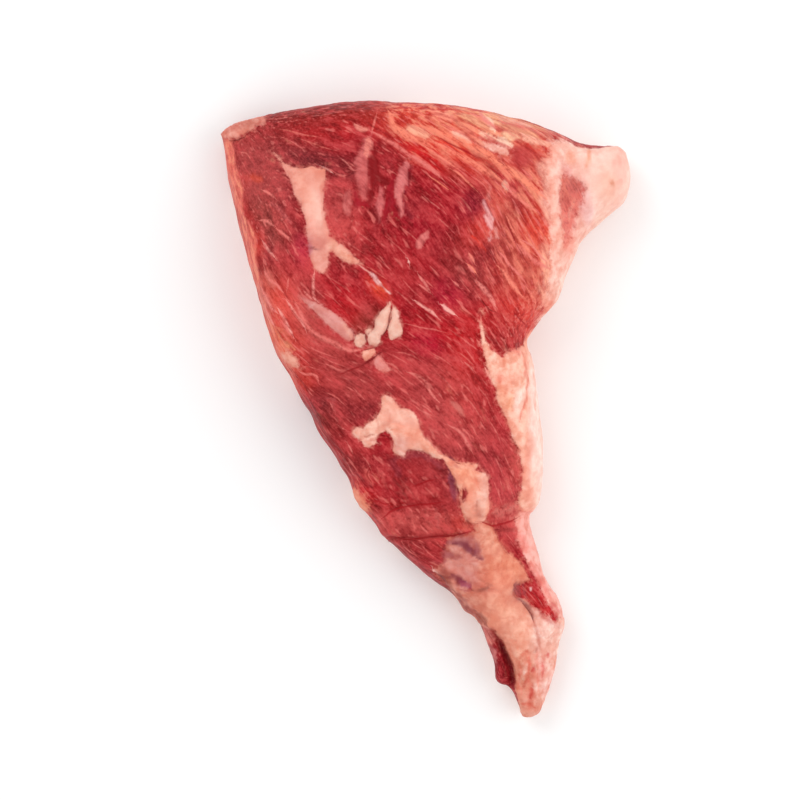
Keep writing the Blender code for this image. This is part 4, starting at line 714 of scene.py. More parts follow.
def closed_mesh(grid, high, low):
    """Top and bottom sheets joined along their rim, in millimetres."""
    nx, ny = high.shape
    upper = np.arange(nx * ny).reshape(nx, ny)
    edge = np.zeros((nx, ny), bool)
    edge[0], edge[-1], edge[:, 0], edge[:, -1] = True, True, True, True
    lower = upper.copy()
    lower[~edge] = nx * ny + np.arange((~edge).sum())
    verts = np.vstack([np.column_stack([grid.reshape(-1, 2), high.ravel()]), np.column_stack([grid[~edge], low[~edge]])])
    quads = lambda m, flip: np.stack(
        [m[:-1, :-1], m[:-1, 1:], m[1:, 1:], m[1:, :-1]] if not flip else [m[:-1, :-1], m[1:, :-1], m[1:, 1:], m[:-1, 1:]], -1
    ).reshape(-1, 4)
    faces = np.vstack([quads(upper, False), quads(lower, True)])
    mesh = bpy.data.meshes.new("rough")
    mesh.from_pydata(verts.tolist(), [], faces.tolist())
    mesh.update()
    return mesh


def evaluated(obj):
    """The object's mesh with its modifiers applied."""
    bpy.context.view_layer.update()
    return bpy.data.meshes.new_from_object(obj.evaluated_get(bpy.context.evaluated_depsgraph_get()))


def coords(mesh):
    co = np.empty(len(mesh.vertices) * 3)
    mesh.vertices.foreach_get("co", co)
    return co.reshape(-1, 3)


def normals(mesh):
    no = np.empty(len(mesh.vertices) * 3)
    mesh.vertex_normals.foreach_get("vector", no)
    return no.reshape(-1, 3)


def set_coords(mesh, co):
    mesh.vertices.foreach_set("co", np.ascontiguousarray(co).ravel())
    mesh.update()


def relax(mesh, co, rounds, amount):
    """Moves each vertex towards the mean of its neighbours."""
    ends = np.empty(len(mesh.edges) * 2, np.int64)
    mesh.edges.foreach_get("vertices", ends)
    a, b = ends[0::2], ends[1::2]
    count = np.bincount(np.concatenate([a, b]), minlength=len(co)).astype(float)[:, None]
    for _ in range(rounds):
        total = np.column_stack([np.bincount(a, co[b, k], len(co)) + np.bincount(b, co[a, k], len(co)) for k in range(3)])
        co = co + amount * (total / count - co)
    return co


# ------------------------------------------------------------------ noise
def lattice(ix, iy, iz, seed):
    n = (ix.astype(np.uint32) * np.uint32(0x8DA6B343)) ^ (iy.astype(np.uint32) * np.uint32(0xD8163841))
    n ^= (iz.astype(np.uint32) * np.uint32(0xCB1AB31F)) ^ np.uint32((seed * 0x9E3779B1) & 0xFFFFFFFF)
    for shift, factor in ((15, 0x2C1B3C6D), (12, 0x297A2D39)):
        n ^= n >> np.uint32(shift)
        n = n * np.uint32(factor)
    n ^= n >> np.uint32(15)
    return n.astype(np.float64) / 2147483648.0 - 1.0


def value_noise(p, seed):
    """Smooth noise from -1 to 1 at points p."""
    cell = np.floor(p).astype(np.int64)
    f = p - cell
    f = f**3 * (f * (f * 6 - 15) + 10)
    out = np.zeros(len(p))
    for dx in (0, 1):
        for dy in (0, 1):
            for dz in (0, 1):
                weight = (
                    (f[:, 0] if dx else 1 - f[:, 0]) * (f[:, 1] if dy else 1 - f[:, 1]) * (f[:, 2] if dz else 1 - f[:, 2])
                )
                out += weight * lattice(cell[:, 0] + dx, cell[:, 1] + dy, cell[:, 2] + dz, seed)
    return out


def fbm(p, size, octaves=3, seed=1, rough=0.5):
    size = np.array(size, float) * np.ones(3)
    total, amount, whole = 0.0, 1.0, 0.0
    for k in range(octaves):
        total = total + amount * value_noise(p / size * 2**k + 17.3 * k, seed + 31 * k)
        whole += amount
        amount *= rough
    return total / whole


# ------------------------------------------------------------------ places on the plan
def plan(co, middle):
    """Where each vertex is on the plan, seen from the view point."""
    k = (EYE_H - WAIST_H) / (EYE_H - co[:, 2]) / UNIT
    eye_x = (VIEW_X - PLAN_X) * UNIT - middle[0]
    eye_y = (PLAN_Y - VIEW_Y) * UNIT - middle[1]
    return np.column_stack([VIEW_X + (co[:, 0] - eye_x) * k, VIEW_Y - (co[:, 1] - eye_y) * k])


def to_polygon(at, polygon, far=12.0):
    """Signed distance in plan units, positive inside; far is where it stops counting."""
    poly = np.array(polygon, float)
    out = np.full(len(at), -far)
    near = ((at > poly.min(0) - far) & (at < poly.max(0) + far)).all(1)
    p = at[near]
    if not len(p):
        return out
    a, b = poly, np.roll(poly, -1, axis=0)
    best = np.full(len(p), np.inf)
    inside = np.zeros(len(p), bool)
    for (ax, ay), (bx, by) in zip(a, b):
        dx, dy = bx - ax, by - ay
        f = np.clip(((p[:, 0] - ax) * dx + (p[:, 1] - ay) * dy) / (dx * dx + dy * dy + 1e-12), 0, 1)
        best = np.minimum(best, np.hypot(p[:, 0] - ax - f * dx, p[:, 1] - ay - f * dy))
        cross = (ay > p[:, 1]) != (by > p[:, 1])
        with np.errstate(divide="ignore", invalid="ignore"):
            hit = p[:, 0] < (bx - ax) * (p[:, 1] - ay) / (by - ay + 1e-12) + ax
        inside ^= cross & hit
    out[near] = np.where(inside, best, -np.minimum(best, far))
    return out


def to_stroke(at, points, far=9.0):
    """For vertices near the line: their indices, offset to its right or left, and share of its length."""
    poly = np.array(points, float)
    if len(poly) > 2:
        poly = spline(poly, 4 * len(poly))
    index = np.nonzero(((at > poly.min(0) - far) & (at < poly.max(0) + far)).all(1))[0]
    p = at[index]
    best, side, share = np.full(len(p), np.inf), np.zeros(len(p)), np.zeros(len(p))
    steps = np.linalg.norm(np.diff(poly, axis=0), axis=1)
    run, whole = 0.0, steps.sum()
    for (ax, ay), (bx, by), step in zip(poly[:-1], poly[1:], steps):
        dx, dy = bx - ax, by - ay
        f = np.clip(((p[:, 0] - ax) * dx + (p[:, 1] - ay) * dy) / (dx * dx + dy * dy + 1e-12), 0, 1)
        gx, gy = p[:, 0] - ax - f * dx, p[:, 1] - ay - f * dy
        gap = np.hypot(gx, gy)
        closer = gap < best
        best[closer] = gap[closer]
        side[closer] = np.sign(dx * gy - dy * gx)[closer]
        share[closer] = ((run + f * step) / whole)[closer]
        run += step
    keep = best < far
    return index[keep], (best * np.where(side == 0, 1, side))[keep], share[keep]


def blobs(at, rows):
    """How much each vertex feels each oval: a table of vertices by rows."""
    felt = np.empty((len(at), len(rows)))
    for k, (x, y, rx, ry, turn, *_) in enumerate(rows):
        c, s = np.cos(np.radians(turn)), np.sin(np.radians(turn))
        dx, dy = at[:, 0] - x, at[:, 1] - y
        felt[:, k] = np.exp(-0.5 * (((dx * c + dy * s) / rx) ** 2 + ((dy * c - dx * s) / ry) ** 2))
    return felt


def linear(rgb):
    c = np.array(rgb, float) / 255.0
    return np.where(c <= 0.04045, c / 12.92, ((c + 0.055) / 1.055) ** 2.4)


# ------------------------------------------------------------------ the run of the fibres
def grain_map():
    """Coordinates along and across the fibres, on a coarse grid over the plan.

    The fibres' direction is blended from GRAIN. Across the fibres the coordinate must not change along them,
    and must grow by 1 for each unit across; that is solved by least squares with conjugate gradients."""
    xs, ys = np.arange(196, 660, GRAIN_CELL), np.arange(76, 748, GRAIN_CELL)
    gx, gy = np.meshgrid((xs[:-1] + xs[1:]) / 2, (ys[:-1] + ys[1:]) / 2, indexing="ij")
    cells = np.column_stack([gx.ravel(), gy.ravel()])
    rows = np.array(GRAIN, float)
    felt = np.exp(-((cells[:, None, :] - rows[:, :2]) ** 2).sum(-1) / (2 * GRAIN_REACH**2)) + 1e-7 * np.exp(
        -((cells[:, None, :] - rows[:, :2]) ** 2).sum(-1) / (2 * 80.0**2)
    )
    twice = np.radians(2 * rows[:, 2])
    angle = 0.5 * np.arctan2(felt @ np.sin(twice), felt @ np.cos(twice))
    angle = np.where(angle < -0.3, angle + np.pi, angle).reshape(gx.shape)
    dx, dy = np.cos(angle), np.sin(angle)

    def grad(v):
        ex = (v[1:, :] - v[:-1, :]) / GRAIN_CELL
        ey = (v[:, 1:] - v[:, :-1]) / GRAIN_CELL
        return (ex[:, 1:] + ex[:, :-1]) / 2, (ey[1:, :] + ey[:-1, :]) / 2

    def grad_t(ax, ay, shape):
        out = np.zeros(shape)
        h = 0.5 / GRAIN_CELL
        out[1:, 1:] += h * (ax + ay)
        out[1:, :-1] += h * (ax - ay)
        out[:-1, 1:] += h * (-ax + ay)
        out[:-1, :-1] += h * (-ax - ay)
        return out

    def solve(fx, fy, gx_, gy_, w_zero, shape):
        """v with f.grad v = 0 (weight w_zero) and g.grad v = 1."""

        def apply(v):
            vx, vy = grad(v)
            along_f, along_g = w_zero * (fx * vx + fy * vy), gx_ * vx + gy_ * vy
            return grad_t(fx * along_f + gx_ * along_g, fy * along_f + gy_ * along_g, shape) + 1e-7 * v

        b = grad_t(gx_, gy_, shape)
        v = np.zeros(shape)
        r = b - apply(v)
        p, rr = r.copy(), (r * r).sum()
        for _ in range(700):
            ap = apply(p)
            a = rr / (p * ap).sum()
            v += a * p
            r -= a * ap
            new = (r * r).sum()
            if new < 1e-10:
                break
            p, rr = r + new / rr * p, new
        return v

    shape = (len(xs), len(ys))
    across = solve(dx, dy, -dy, dx, 25.0, shape)
    run = solve(-dy, dx, dx, dy, 1.0, shape)
    return xs, ys, run, across


def from_map(at, xs, ys, table):
    x = np.clip((at[:, 0] - xs[0]) / GRAIN_CELL, 0, len(xs) - 1.001)
    y = np.clip((at[:, 1] - ys[0]) / GRAIN_CELL, 0, len(ys) - 1.001)
    i, j = x.astype(int), y.astype(int)
    f, g = x - i, y - j
    return (
        (1 - f) * (1 - g) * table[i, j] + f * (1 - g) * table[i + 1, j] + (1 - f) * g * table[i, j + 1] + f * g * table[i + 1, j + 1]
    )


# ------------------------------------------------------------------ the body
def make_body():
    grid, high, low, outline, middle = form()
    rough = bpy.data.objects.new("rough", closed_mesh(grid, high, low))
    bpy.context.scene.collection.objects.link(rough)
    remesh = rough.modifiers.new("remesh", "REMESH")
    remesh.mode = "VOXEL"
    remesh.voxel_size = VOXEL
    remesh.adaptivity = 0.0
    fine = evaluated(rough)
    bpy.data.objects.remove(rough)

    body = bpy.data.objects.new("raw_tri_tip", fine)
    bpy.context.scene.collection.objects.link(body)
    co = coords(fine)
    co = relax(fine, co, 3, 0.5)
    co[:, 2] = np.where(co[:, 2] < 0.05, 0.0, co[:, 2])
    set_coords(fine, co)

    # fewer faces on the underside, where the relief is broad
    group = body.vertex_groups.new(name="under")
    no = normals(fine)
    under = np.nonzero((no[:, 2] < -0.3) & (co[:, 2] < 4.0))[0]
    group.add(under.tolist(), 1.0, "REPLACE")
    triangles = sum(len(p.vertices) - 2 for p in fine.polygons) if len(fine.polygons) < 1000 else 2 * len(fine.polygons)
    if triangles > FACE_LIMIT:
        # the flat face has waves while it is thinned, so that its faces stay even in size
        waved = co.copy()
        waved[:, 2] = np.where(co[:, 2] < 0.02, -0.5 - 0.4 * fbm(co, 5.0, 1, 34), co[:, 2])
        set_coords(fine, waved)
        thin = body.modifiers.new("thin", "DECIMATE")
        thin.decimate_type = "COLLAPSE"
        thin.ratio = FACE_LIMIT / triangles
        thin.vertex_group = "under"
        thin.vertex_group_factor = 10.0
        fine = evaluated(body)
        body.modifiers.remove(thin)
        body.data = fine
        co = coords(fine)
        co[:, 2] = np.where(co[:, 2] < 0.02, 0.0, co[:, 2])
        set_coords(fine, co)
    body.vertex_groups.clear()
    print("body:", len(fine.vertices), "vertices", len(fine.polygons), "faces")
    return body, outline, middle


def shape_and_paint(body, outline, middle):
    mesh = body.data
    co, no = coords(mesh), normals(mesh)
    at = plan(co, middle)
    n = len(co)
    steep = np.clip(1 - no[:, 2], 0, 1)  # 0 on level ground, 1 on a wall or below
    upper = smooth((no[:, 2] + 0.15) / 0.5)
    xs, ys, run_map, across_map = grain_map()
    u = from_map(at, xs, ys, run_map) * UNIT
    v = from_map(at, xs, ys, across_map) * UNIT
    w = co[:, 2].copy()
    # the fibres don't run on across the crease at the neck of the tail
    beyond = smooth((at[:, 1] - (540 - 0.09 * (at[:, 0] - 380))) / 3.0)
    v = v + 37.0 * beyond
    u = u + 19.0 * beyond
    v = v + 0.7 * fbm(np.column_stack([at * UNIT, w]), 17, 2, 61)
    grain = np.column_stack([u, v, w])

    # ---- fat
    wobble = np.column_stack([fbm(np.column_stack([at, w]) * UNIT, 3.5, 2, 5), fbm(np.column_stack([at, w]) * UNIT, 3.5, 2, 6)]) * 1.1
    fat = np.full(n, -5.4)
    rise = np.zeros(n)
    tint = np.tile(linear(PEACH), (n, 1))
    lower = {"knob": (14.0, 8.0), "cut_edge_fat": (24.0, 11.0), "cut_edge_low": (22.0, 10.0), "corner_flap": (17.0, 11.0)}
    for name, colour, high, soft, polygon in FAT:
        place = at + wobble
        down = smooth((lower[name][0] - co[:, 2]) / lower[name][1]) if name in lower else np.zeros(n)
        if name == "knob":  # below its back edge the knob is all fat
            place = place + np.column_stack([np.zeros(n), 10.0 * down])
        gap = to_polygon(place, polygon) * UNIT
        if name in lower and name != "knob":  # thins out down the wall
            gap = gap - (4.4 + 5.0 * fbm(co, 5.0, 3, 44)) * down
        groove = 0.0 if name in ("knob", "tail_edge", "corner_flap") or high < 0.5 else 0.15
        raised = high * smooth((gap + 0.35) / 1.7) - groove * np.exp(-(((gap + 0.45) / 0.6) ** 2))
        if name in ("knob", "side_fat", "tail_edge", "tail_fat"):
            raised = raised * (0.35 + 0.65 * upper)
        closer = gap > fat
        spread = np.full(n, max(soft / 0.3, 1.0))  # a softer edge spreads the change over more millimetres
        if name == "knob":  # its back edge is sharp
            spread = 1.0 + (spread - 1.0) * (1 - smooth((156 - at[:, 1]) / 8) * smooth((at[:, 0] - 556) / 14))
        soft_gap = gap / spread
        tint[closer] = linear(colour)
        fat = np.where(closer, np.where(gap > -5.0, soft_gap, fat), fat)
        rise = np.where(np.abs(raised) > np.abs(rise), raised, rise)
    window_tone = np.zeros((n, 3))
    window = np.zeros(n)
    for name, colour, sharp, polygon in WINDOWS:
        gap = to_polygon(at + wobble * 1.6, polygon) * UNIT
        fat = np.minimum(fat, -sharp * gap)
        share = smooth((gap + 1.0) / 1.2)
        window_tone = np.where((share > window)[:, None], linear(colour), window_tone)
        window = np.maximum(window, share)
        rise = rise - 0.6 * smooth((gap + 0.3) / 1.2)
    # the fat cap under the cut, thicker on the fat side
    p3 = co.copy()
    side = smooth((at[:, 0] - 300) / 260)
    cap_top = 4.2 + 3.6 * side + 3.4 * fbm(p3 * [1, 1, 0], 18, 2, 41) + 1.3 * fbm(p3 * [1, 1, 0.3], 5, 2, 42)
    cap = cap_top - co[:, 2]
    under = smooth((cap + 0.5) / 1.0)
    cap_wins = cap > fat
    cap_tint = linear(PALE_PINK) * (1 - 0.35 * under[:, None]) + linear(CREAM) * 0.35 * under[:, None]
    # on the underside the fat is rosier where it is thin, with faint seams
    low_down = smooth((1.5 - co[:, 2]) / 1.5)
    thin_here = (0.75 * smooth((fbm(p3, (26, 38, 26), 3, 46) + 0.05) / 0.5) * low_down)[:, None]
    cap_tint = cap_tint * (1 - thin_here) + linear((232, 140, 124)) * thin_here
    bare = (0.55 * smooth((fbm(p3, (15, 24, 15), 3, 48) - 0.30) / 0.25) * low_down)[:, None]
    cap_tint = cap_tint * (1 - bare) + linear((190, 74, 70)) * bare
    seam = (0.5 * np.exp(-((fbm(p3, (20, 30, 20), 3, 47) / 0.03) ** 2)) * low_down)[:, None]
    cap_tint = cap_tint * (1 - seam) + linear((214, 112, 100)) * seam
    tint = np.where(cap_wins[:, None], cap_tint, tint)
    fat = np.maximum(fat, cap)

    # ---- stains on the fat
    felt = blobs(at + wobble * 2.0, STAINS) * upper[:, None] * (1.0 + 0.35 * fbm(p3, 4.0, 2, 43))[:, None]
    for k, row in enumerate(STAINS):
        share = np.clip(felt[:, k] * 1.35, 0, 1) ** 1.5 * row[6]
        tint = tint * (1 - share[:, None]) + linear(row[5]) * share[:, None]

    # ---- lean tones
    felt = blobs(at, TONES)
    weights = np.array([r[6] for r in TONES]) * felt
    colours = np.array([linear(r[5]) for r in TONES])
    base, base_weight = linear(TONE_BASE[0]), TONE_BASE[1]
    tone = (weights @ colours + base * base_weight) / (weights.sum(1) + base_weight)[:, None]

    tone = tone * (1 - window[:, None]) + window_tone * window[:, None]

    # ---- strokes
    stroke_rise = np.zeros(n)
    ragged = fbm(p3, 2.6, 2, 51)
    for width, colour, strength, deep, *points in STROKES:
        index, offset, share = to_stroke(at + wobble * 1.3, points)
        half = 0.5 * width * np.clip(1.25 * np.sin(np.pi * np.clip(share, 0.03, 0.97)) ** 0.6, 0.1, 1.0) * (1 + 0.8 * ragged[index])
        cover = strength * smooth((1.6 - np.abs(offset) / half) / 1.2) * np.clip(0.9 + 0.7 * ragged[index], 0, 1)
        cover = (cover * upper[index])[:, None]
        tint[index] += cover * (linear(colour) - tint[index])
        tone[index] += cover * (linear(colour) - tone[index])
        stroke_rise[index] -= deep * np.exp(-((offset / (half + 1.0)) ** 2)) * upper[index]

    # ---- fattiness, crumple
    felt = blobs(at, MARBLING)
    marbling = (felt @ np.array([r[5] for r in MARBLING]) + MARBLING_BASE[0] * MARBLING_BASE[1]) / (felt.sum(1) + MARBLING_BASE[1])
    crumple = (blobs(at, CRUMPLE) * np.array([r[5] for r in CRUMPLE])).max(1) * upper

    # the walls: salmon, fattier cut face on the cut side; a thin dark red rim at the broad end, painted shade where its
    # edge curves away from the light
    rim_gap = to_outline(co[:, :2], outline)
    broad = smooth((146 + 0.0 * at[:, 0] - at[:, 1]) / 10) * smooth((640 - at[:, 0]) / 10)
    patchy = 50 * fbm(p3, 13, 3, 45)
    band_end = 412 - 62 * smooth((17 - co[:, 2]) / 13)  # it ends sooner low down on the wall
    band = smooth((to_polygon(at + wobble * 1.6, BAND, far=20.0) + 1.6) / 3.2) * smooth((band_end - at[:, 1] + patchy) / 104)
    lower_band = smooth((at[:, 1] - 300) / 40)[:, None]
    salmon = linear((226, 116, 100)) * (1 - lower_band) + linear((234, 112, 84)) * lower_band
    tone = tone * (1 - 0.9 * band[:, None]) + salmon * 0.9 * band[:, None]
    marbling = np.maximum(marbling, 0.7 * band)
    # rim: painted shade along the broad end's edge
    rim = smooth((2.6 - rim_gap) / 1.6) * broad * smooth((at[:, 0] - 270) / 30)
    tone = tone * (1 - 0.5 * rim[:, None]) + linear((176, 44, 42)) * 0.5 * rim[:, None]
    wall = smooth((steep - 0.55) / 0.4)
    marbling = np.maximum(marbling * (1 - 0.5 * wall * smooth((34 - co[:, 2]) / 14)), 0.15 * wall)
    calm = (blobs(at, CALM) * np.array([r[5] for r in CALM])).max(1)
    calm = np.maximum(calm, np.maximum(0.5 * wall, 0.75 * low_down))

    # ---- silverskin
    skin, skin_rise = np.zeros(n), np.zeros(n)
    skin_tint = np.tile(linear(GREYROSE), (n, 1))
    feather = 1.1 * fbm(grain, (6, 1.4, 2.0), 2, 72)
    for name, colour, strength, high, soft, polygon in SKIN:
        gap = to_polygon(at + wobble * 0.8, polygon) * UNIT + feather
        share = strength * smooth((gap + soft * 0.6) / (soft * 1.2))
        closer = share > skin
        skin_tint[closer] = linear(colour)
        skin = np.maximum(skin, share)
        bulge = high * smooth((gap + 0.5) / 2.2)
        skin_rise = np.where(np.abs(bulge) > np.abs(skin_rise), bulge, skin_rise)
    fray = fbm(grain, (10, 2.4, 4.0), 2, 71)
    for row, share in zip(VEIL, blobs(at, VEIL).T):
        cover = 0.75 * smooth((1.7 * fray + 2.6 * row[5] * share - 0.9) / 1.8)
        closer = cover > skin
        skin_tint[closer] = linear(row[6])
        skin = np.maximum(skin, cover)
        skin_rise = np.where(closer & (skin_rise >= 0), np.maximum(skin_rise, 0.45 * cover), skin_rise)
    skin *= upper
    skin_rise *= upper

    # ---- threads and cracks, each in the first channel where it is clear of the others
    channels = [{"mask": np.zeros(n, bool), "rows": np.tile([6.0, 0.0, 0.0], (n, 1)), "gap": np.full(n, 99.0)} for _ in range(4)]

    def place(store, index, offset, ratio, presence, extra):
        closer = np.abs(offset) < store["gap"][index]
        rows = index[closer]
        store["gap"][rows] = np.abs(offset[closer])
        store["rows"][rows] = np.column_stack([ratio[closer], presence[closer], np.full(closer.sum(), extra)])

    thread_rise = np.zeros(n)
    for width, shade, *points in THREADS:
        index, offset, share = to_stroke(at + wobble * 0.35, points)
        half = 0.5 * width * np.clip(1.25 * np.sin(np.pi * np.clip(share, 0.02, 0.98)) ** 0.6, 0.05, 1.0)
        ratio = np.clip(offset / half, -8, 8)
        presence = smooth((6.0 - np.abs(offset)) / 2.5) * upper[index]
        core = np.abs(offset) < 5.5
        clash = [c["mask"][index[core]].mean() if core.any() else 0 for c in channels[:3]]
        store = channels[int(np.argmin(clash))]
        store["mask"][index[core]] = True
        place(store, index, offset, ratio, presence * (0.5 + 0.5 * smooth((width - 1.1) / 1.3)), shade)
        bump = 0.28 * min(width / 2.0, 2.7) * np.exp(-((offset / (0.5 * width + 1.2)) ** 2)) * (half / (0.5 * width))
        thread_rise[index] = np.maximum(thread_rise[index], bump * upper[index])
    crack_depth = np.zeros(n)
    for width, deep, red, *points in CRACKS:
        index, offset, share = to_stroke(at + wobble * 0.5, points)
        half = 0.5 * width * np.clip(1.25 * np.sin(np.pi * np.clip(share, 0.02, 0.98)) ** 0.6, 0.05, 1.0)
        strong = 1.0 if width < 3.0 else 0.8
        place(channels[3], index, offset, np.clip(offset / half, -8, 8), strong * smooth((6.5 - np.abs(offset)) / 2.5) * upper[index], red)
        cut = deep * np.exp(-((offset / (0.5 * width + 0.9)) ** 2)) * (half / (0.5 * width))
        crack_depth[index] = np.maximum(crack_depth[index], cut * upper[index])

    # ---- relief
    fat_here = smooth((fat + 0.2) / 0.8)
    inner = 0.18 + 0.82 * smooth((rim_gap - 1.0) / 9.0)
    broad_lumps = 0.85 * fbm(p3, 24, 2, 3) + 0.40 * fbm(p3, 9, 2, 4)
    bundles = 0.34 * fbm(grain, (17, 3.4, 3.4), 2, 8) + 0.20 * fbm(grain, (8, 1.7, 1.7), 2, 9)
    fat_lumps = 0.50 * fbm(p3, 4.5, 2, 11) + 0.45 * fbm(p3, 11, 1, 12)
    tail = smooth((at[:, 1] - 500) / 30)
    tip = smooth((at[:, 1] - 640) / 16)
    by_grain = fbm(grain, (13, 2.6, 4.0), 2, 13)
    by_place = fbm(p3 + 1.5 * np.column_stack([fbm(p3, 7, 1, 14), fbm(p3, 7, 1, 15), np.zeros(n)]), (6.0, 5.0, 5.0), 2, 16)
    by_length = fbm(p3, (1.9, 9.0, 5.0), 2, 17)
    fold_line = by_grain * (1 - tail) + (by_place * (1 - tip) + by_length * tip) * tail
    # crease: the fold lines of crumpled fat, sunk in the relief and painted darker in the material as shade
    crease = crumple * np.exp(-((fold_line / 0.085) ** 2))
    disp = broad_lumps * inner - 0.4 * (1 - np.abs(no[:, 2])) ** 2
    disp += bundles * (1 - 0.8 * fat_here) * (1 - 0.6 * skin)
    disp += fat_lumps * fat_here * (0.5 + 0.5 * inner)
    disp += rise * np.where(cap_wins, 0.0, 1.0)
    disp += skin_rise + thread_rise - crack_depth
    disp += crumple * 0.9 * np.abs(fold_line) - 0.45 * crease + stroke_rise
    disp += (blobs(at, PULL) @ np.array([r[5] for r in PULL])) * (1 - np.abs(no[:, 2])) * smooth((5.0 - rim_gap) / 5.0)
    # painted light and shade on crumpled fat: paler on the raised lobes, darker and redder along the sunk fold lines
    lobe = (crumple * (smooth(np.abs(fold_line) / 0.38) - 0.4))[:, None]
    tint = np.clip(tint * (1 + lobe * np.array([0.08, 0.28, 0.32])), 0, 1)
    # walls: layers along the edge
    layers = 0.45 * fbm(np.column_stack([u, v, w * 1.0]), (22, 22, 2.6), 2, 21) * wall * (1 - 0.5 * fat_here)
    disp += layers
    co2 = co + no * disp[:, None] * np.where(co[:, 2] < 0.02, 0.0, 1.0)[:, None]
    # the cleft beside the tail's flap
    index, offset, share = to_stroke(at, CLEFT, far=14.0)
    deep = 2.6 * np.exp(-((offset * UNIT / 1.5) ** 2)) * np.sin(np.pi * np.clip(share, 0.03, 0.97)) ** 0.5
    co2[index, 2] -= np.minimum(deep, 0.45 * co2[index, 2]) * upper[index]
    # cleft: where the material paints the carved cleft dark maroon as painted shade
    cleft = np.zeros(n)
    cleft[index] = np.exp(-((offset * UNIT / 1.3) ** 2)) * np.sin(np.pi * np.clip(share, 0.03, 0.97)) ** 0.5 * upper[index]
    # the underside: shallow hollows between the places where it rests
    flat = co[:, 2] < 0.02
    hollow = np.clip(1.7 * fbm(p3, (15, 20, 15), 3, 33) - 0.15, 0, 1.6) * smooth((rim_gap - 4) / 8)
    co2[:, 2] = np.where(flat, hollow, np.maximum(co2[:, 2], 0.0))
    set_coords(mesh, co2 * MM)

    def put(name, kind, values):
        field = {"FLOAT": "value", "FLOAT_VECTOR": "vector", "FLOAT_COLOR": "color"}[kind]
        attribute = mesh.attributes.new(name, kind, "POINT")
        attribute.data.foreach_set(field, np.ascontiguousarray(values, dtype=np.float32).ravel())

    alpha = np.ones((n, 1))
    put("grain", "FLOAT_VECTOR", grain)
    put("tone", "FLOAT_COLOR", np.hstack([tone, alpha]))
    put("fat_tint", "FLOAT_COLOR", np.hstack([tint, alpha]))
    put("skin_tint", "FLOAT_COLOR", np.hstack([skin_tint, alpha]))
    put("masks", "FLOAT_VECTOR", np.column_stack([fat, skin, crease]))
    put("traits", "FLOAT_VECTOR", np.column_stack([marbling, cleft, calm]))
    for k, name in enumerate(("thread_a", "thread_b", "thread_c", "crack")):
        put(name, "FLOAT_VECTOR", channels[k]["rows"])
    mesh.shade_smooth()


# ------------------------------------------------------------------ material
class Nodes:
    def __init__(self, material):
        material.use_nodes = True
        self.tree = material.node_tree
        self.tree.nodes.clear()

    def add(self, kind, **settings):
        node = self.tree.nodes.new(kind)
        for name, value in settings.items():
            setattr(node, name, value)
        return node

    def feed(self, node, socket, value):
        if value is None:
            return
        if isinstance(value, bpy.types.NodeSocket):
            self.tree.links.new(value, node.inputs[socket])
        else:
            node.inputs[socket].default_value = value

    def math(self, operation, a, b=None, c=None, clamp=False):
        node = self.add("ShaderNodeMath", operation=operation, use_clamp=clamp)
        for k, value in enumerate((a, b, c)):
            self.feed(node, k, value)
        return node.outputs[0]

    def vector(self, operation, a, b=None):
        node = self.add("ShaderNodeVectorMath", operation=operation)
        self.feed(node, 0, a)
        self.feed(node, 1, b)
        return node.outputs[0]

    def split(self, value):
        node = self.add("ShaderNodeSeparateXYZ")
        self.feed(node, 0, value)
        return node.outputs

    def attribute(self, name, output="Vector"):
        return self.add("ShaderNodeAttribute", attribute_name=name).outputs[output]

    def step(self, value, low, high, to_low=0.0, to_high=1.0):
        """A smooth step from to_low to to_high as value goes from low to high."""
        node = self.add("ShaderNodeMapRange", interpolation_type="SMOOTHSTEP", clamp=True)
        for k, x in enumerate((value, low, high, to_low, to_high)):
            self.feed(node, k, x)
        return node.outputs[0]

    def noise(self, vector, scale=1.0, detail=2.0, rough=0.5, distort=0.0):
        node = self.add("ShaderNodeTexNoise", noise_dimensions="3D")
        self.feed(node, "Vector", vector)
        for name, value in (("Scale", scale), ("Detail", detail), ("Roughness", rough), ("Distortion", distort)):
            node.inputs[name].default_value = value
        return node.outputs[0]

    def mix(self, share, a, b, how="MIX"):
        node = self.add("ShaderNodeMix", data_type="RGBA", blend_type=how)
        self.feed(node, 0, share)
        for k, value in ((6, a), (7, b)):
            if isinstance(value, tuple):
                value = (*value, 1.0)
            self.feed(node, k, value)
        return node.outputs[2]


def colour(rgb):
    return tuple(float(x) for x in linear(rgb))


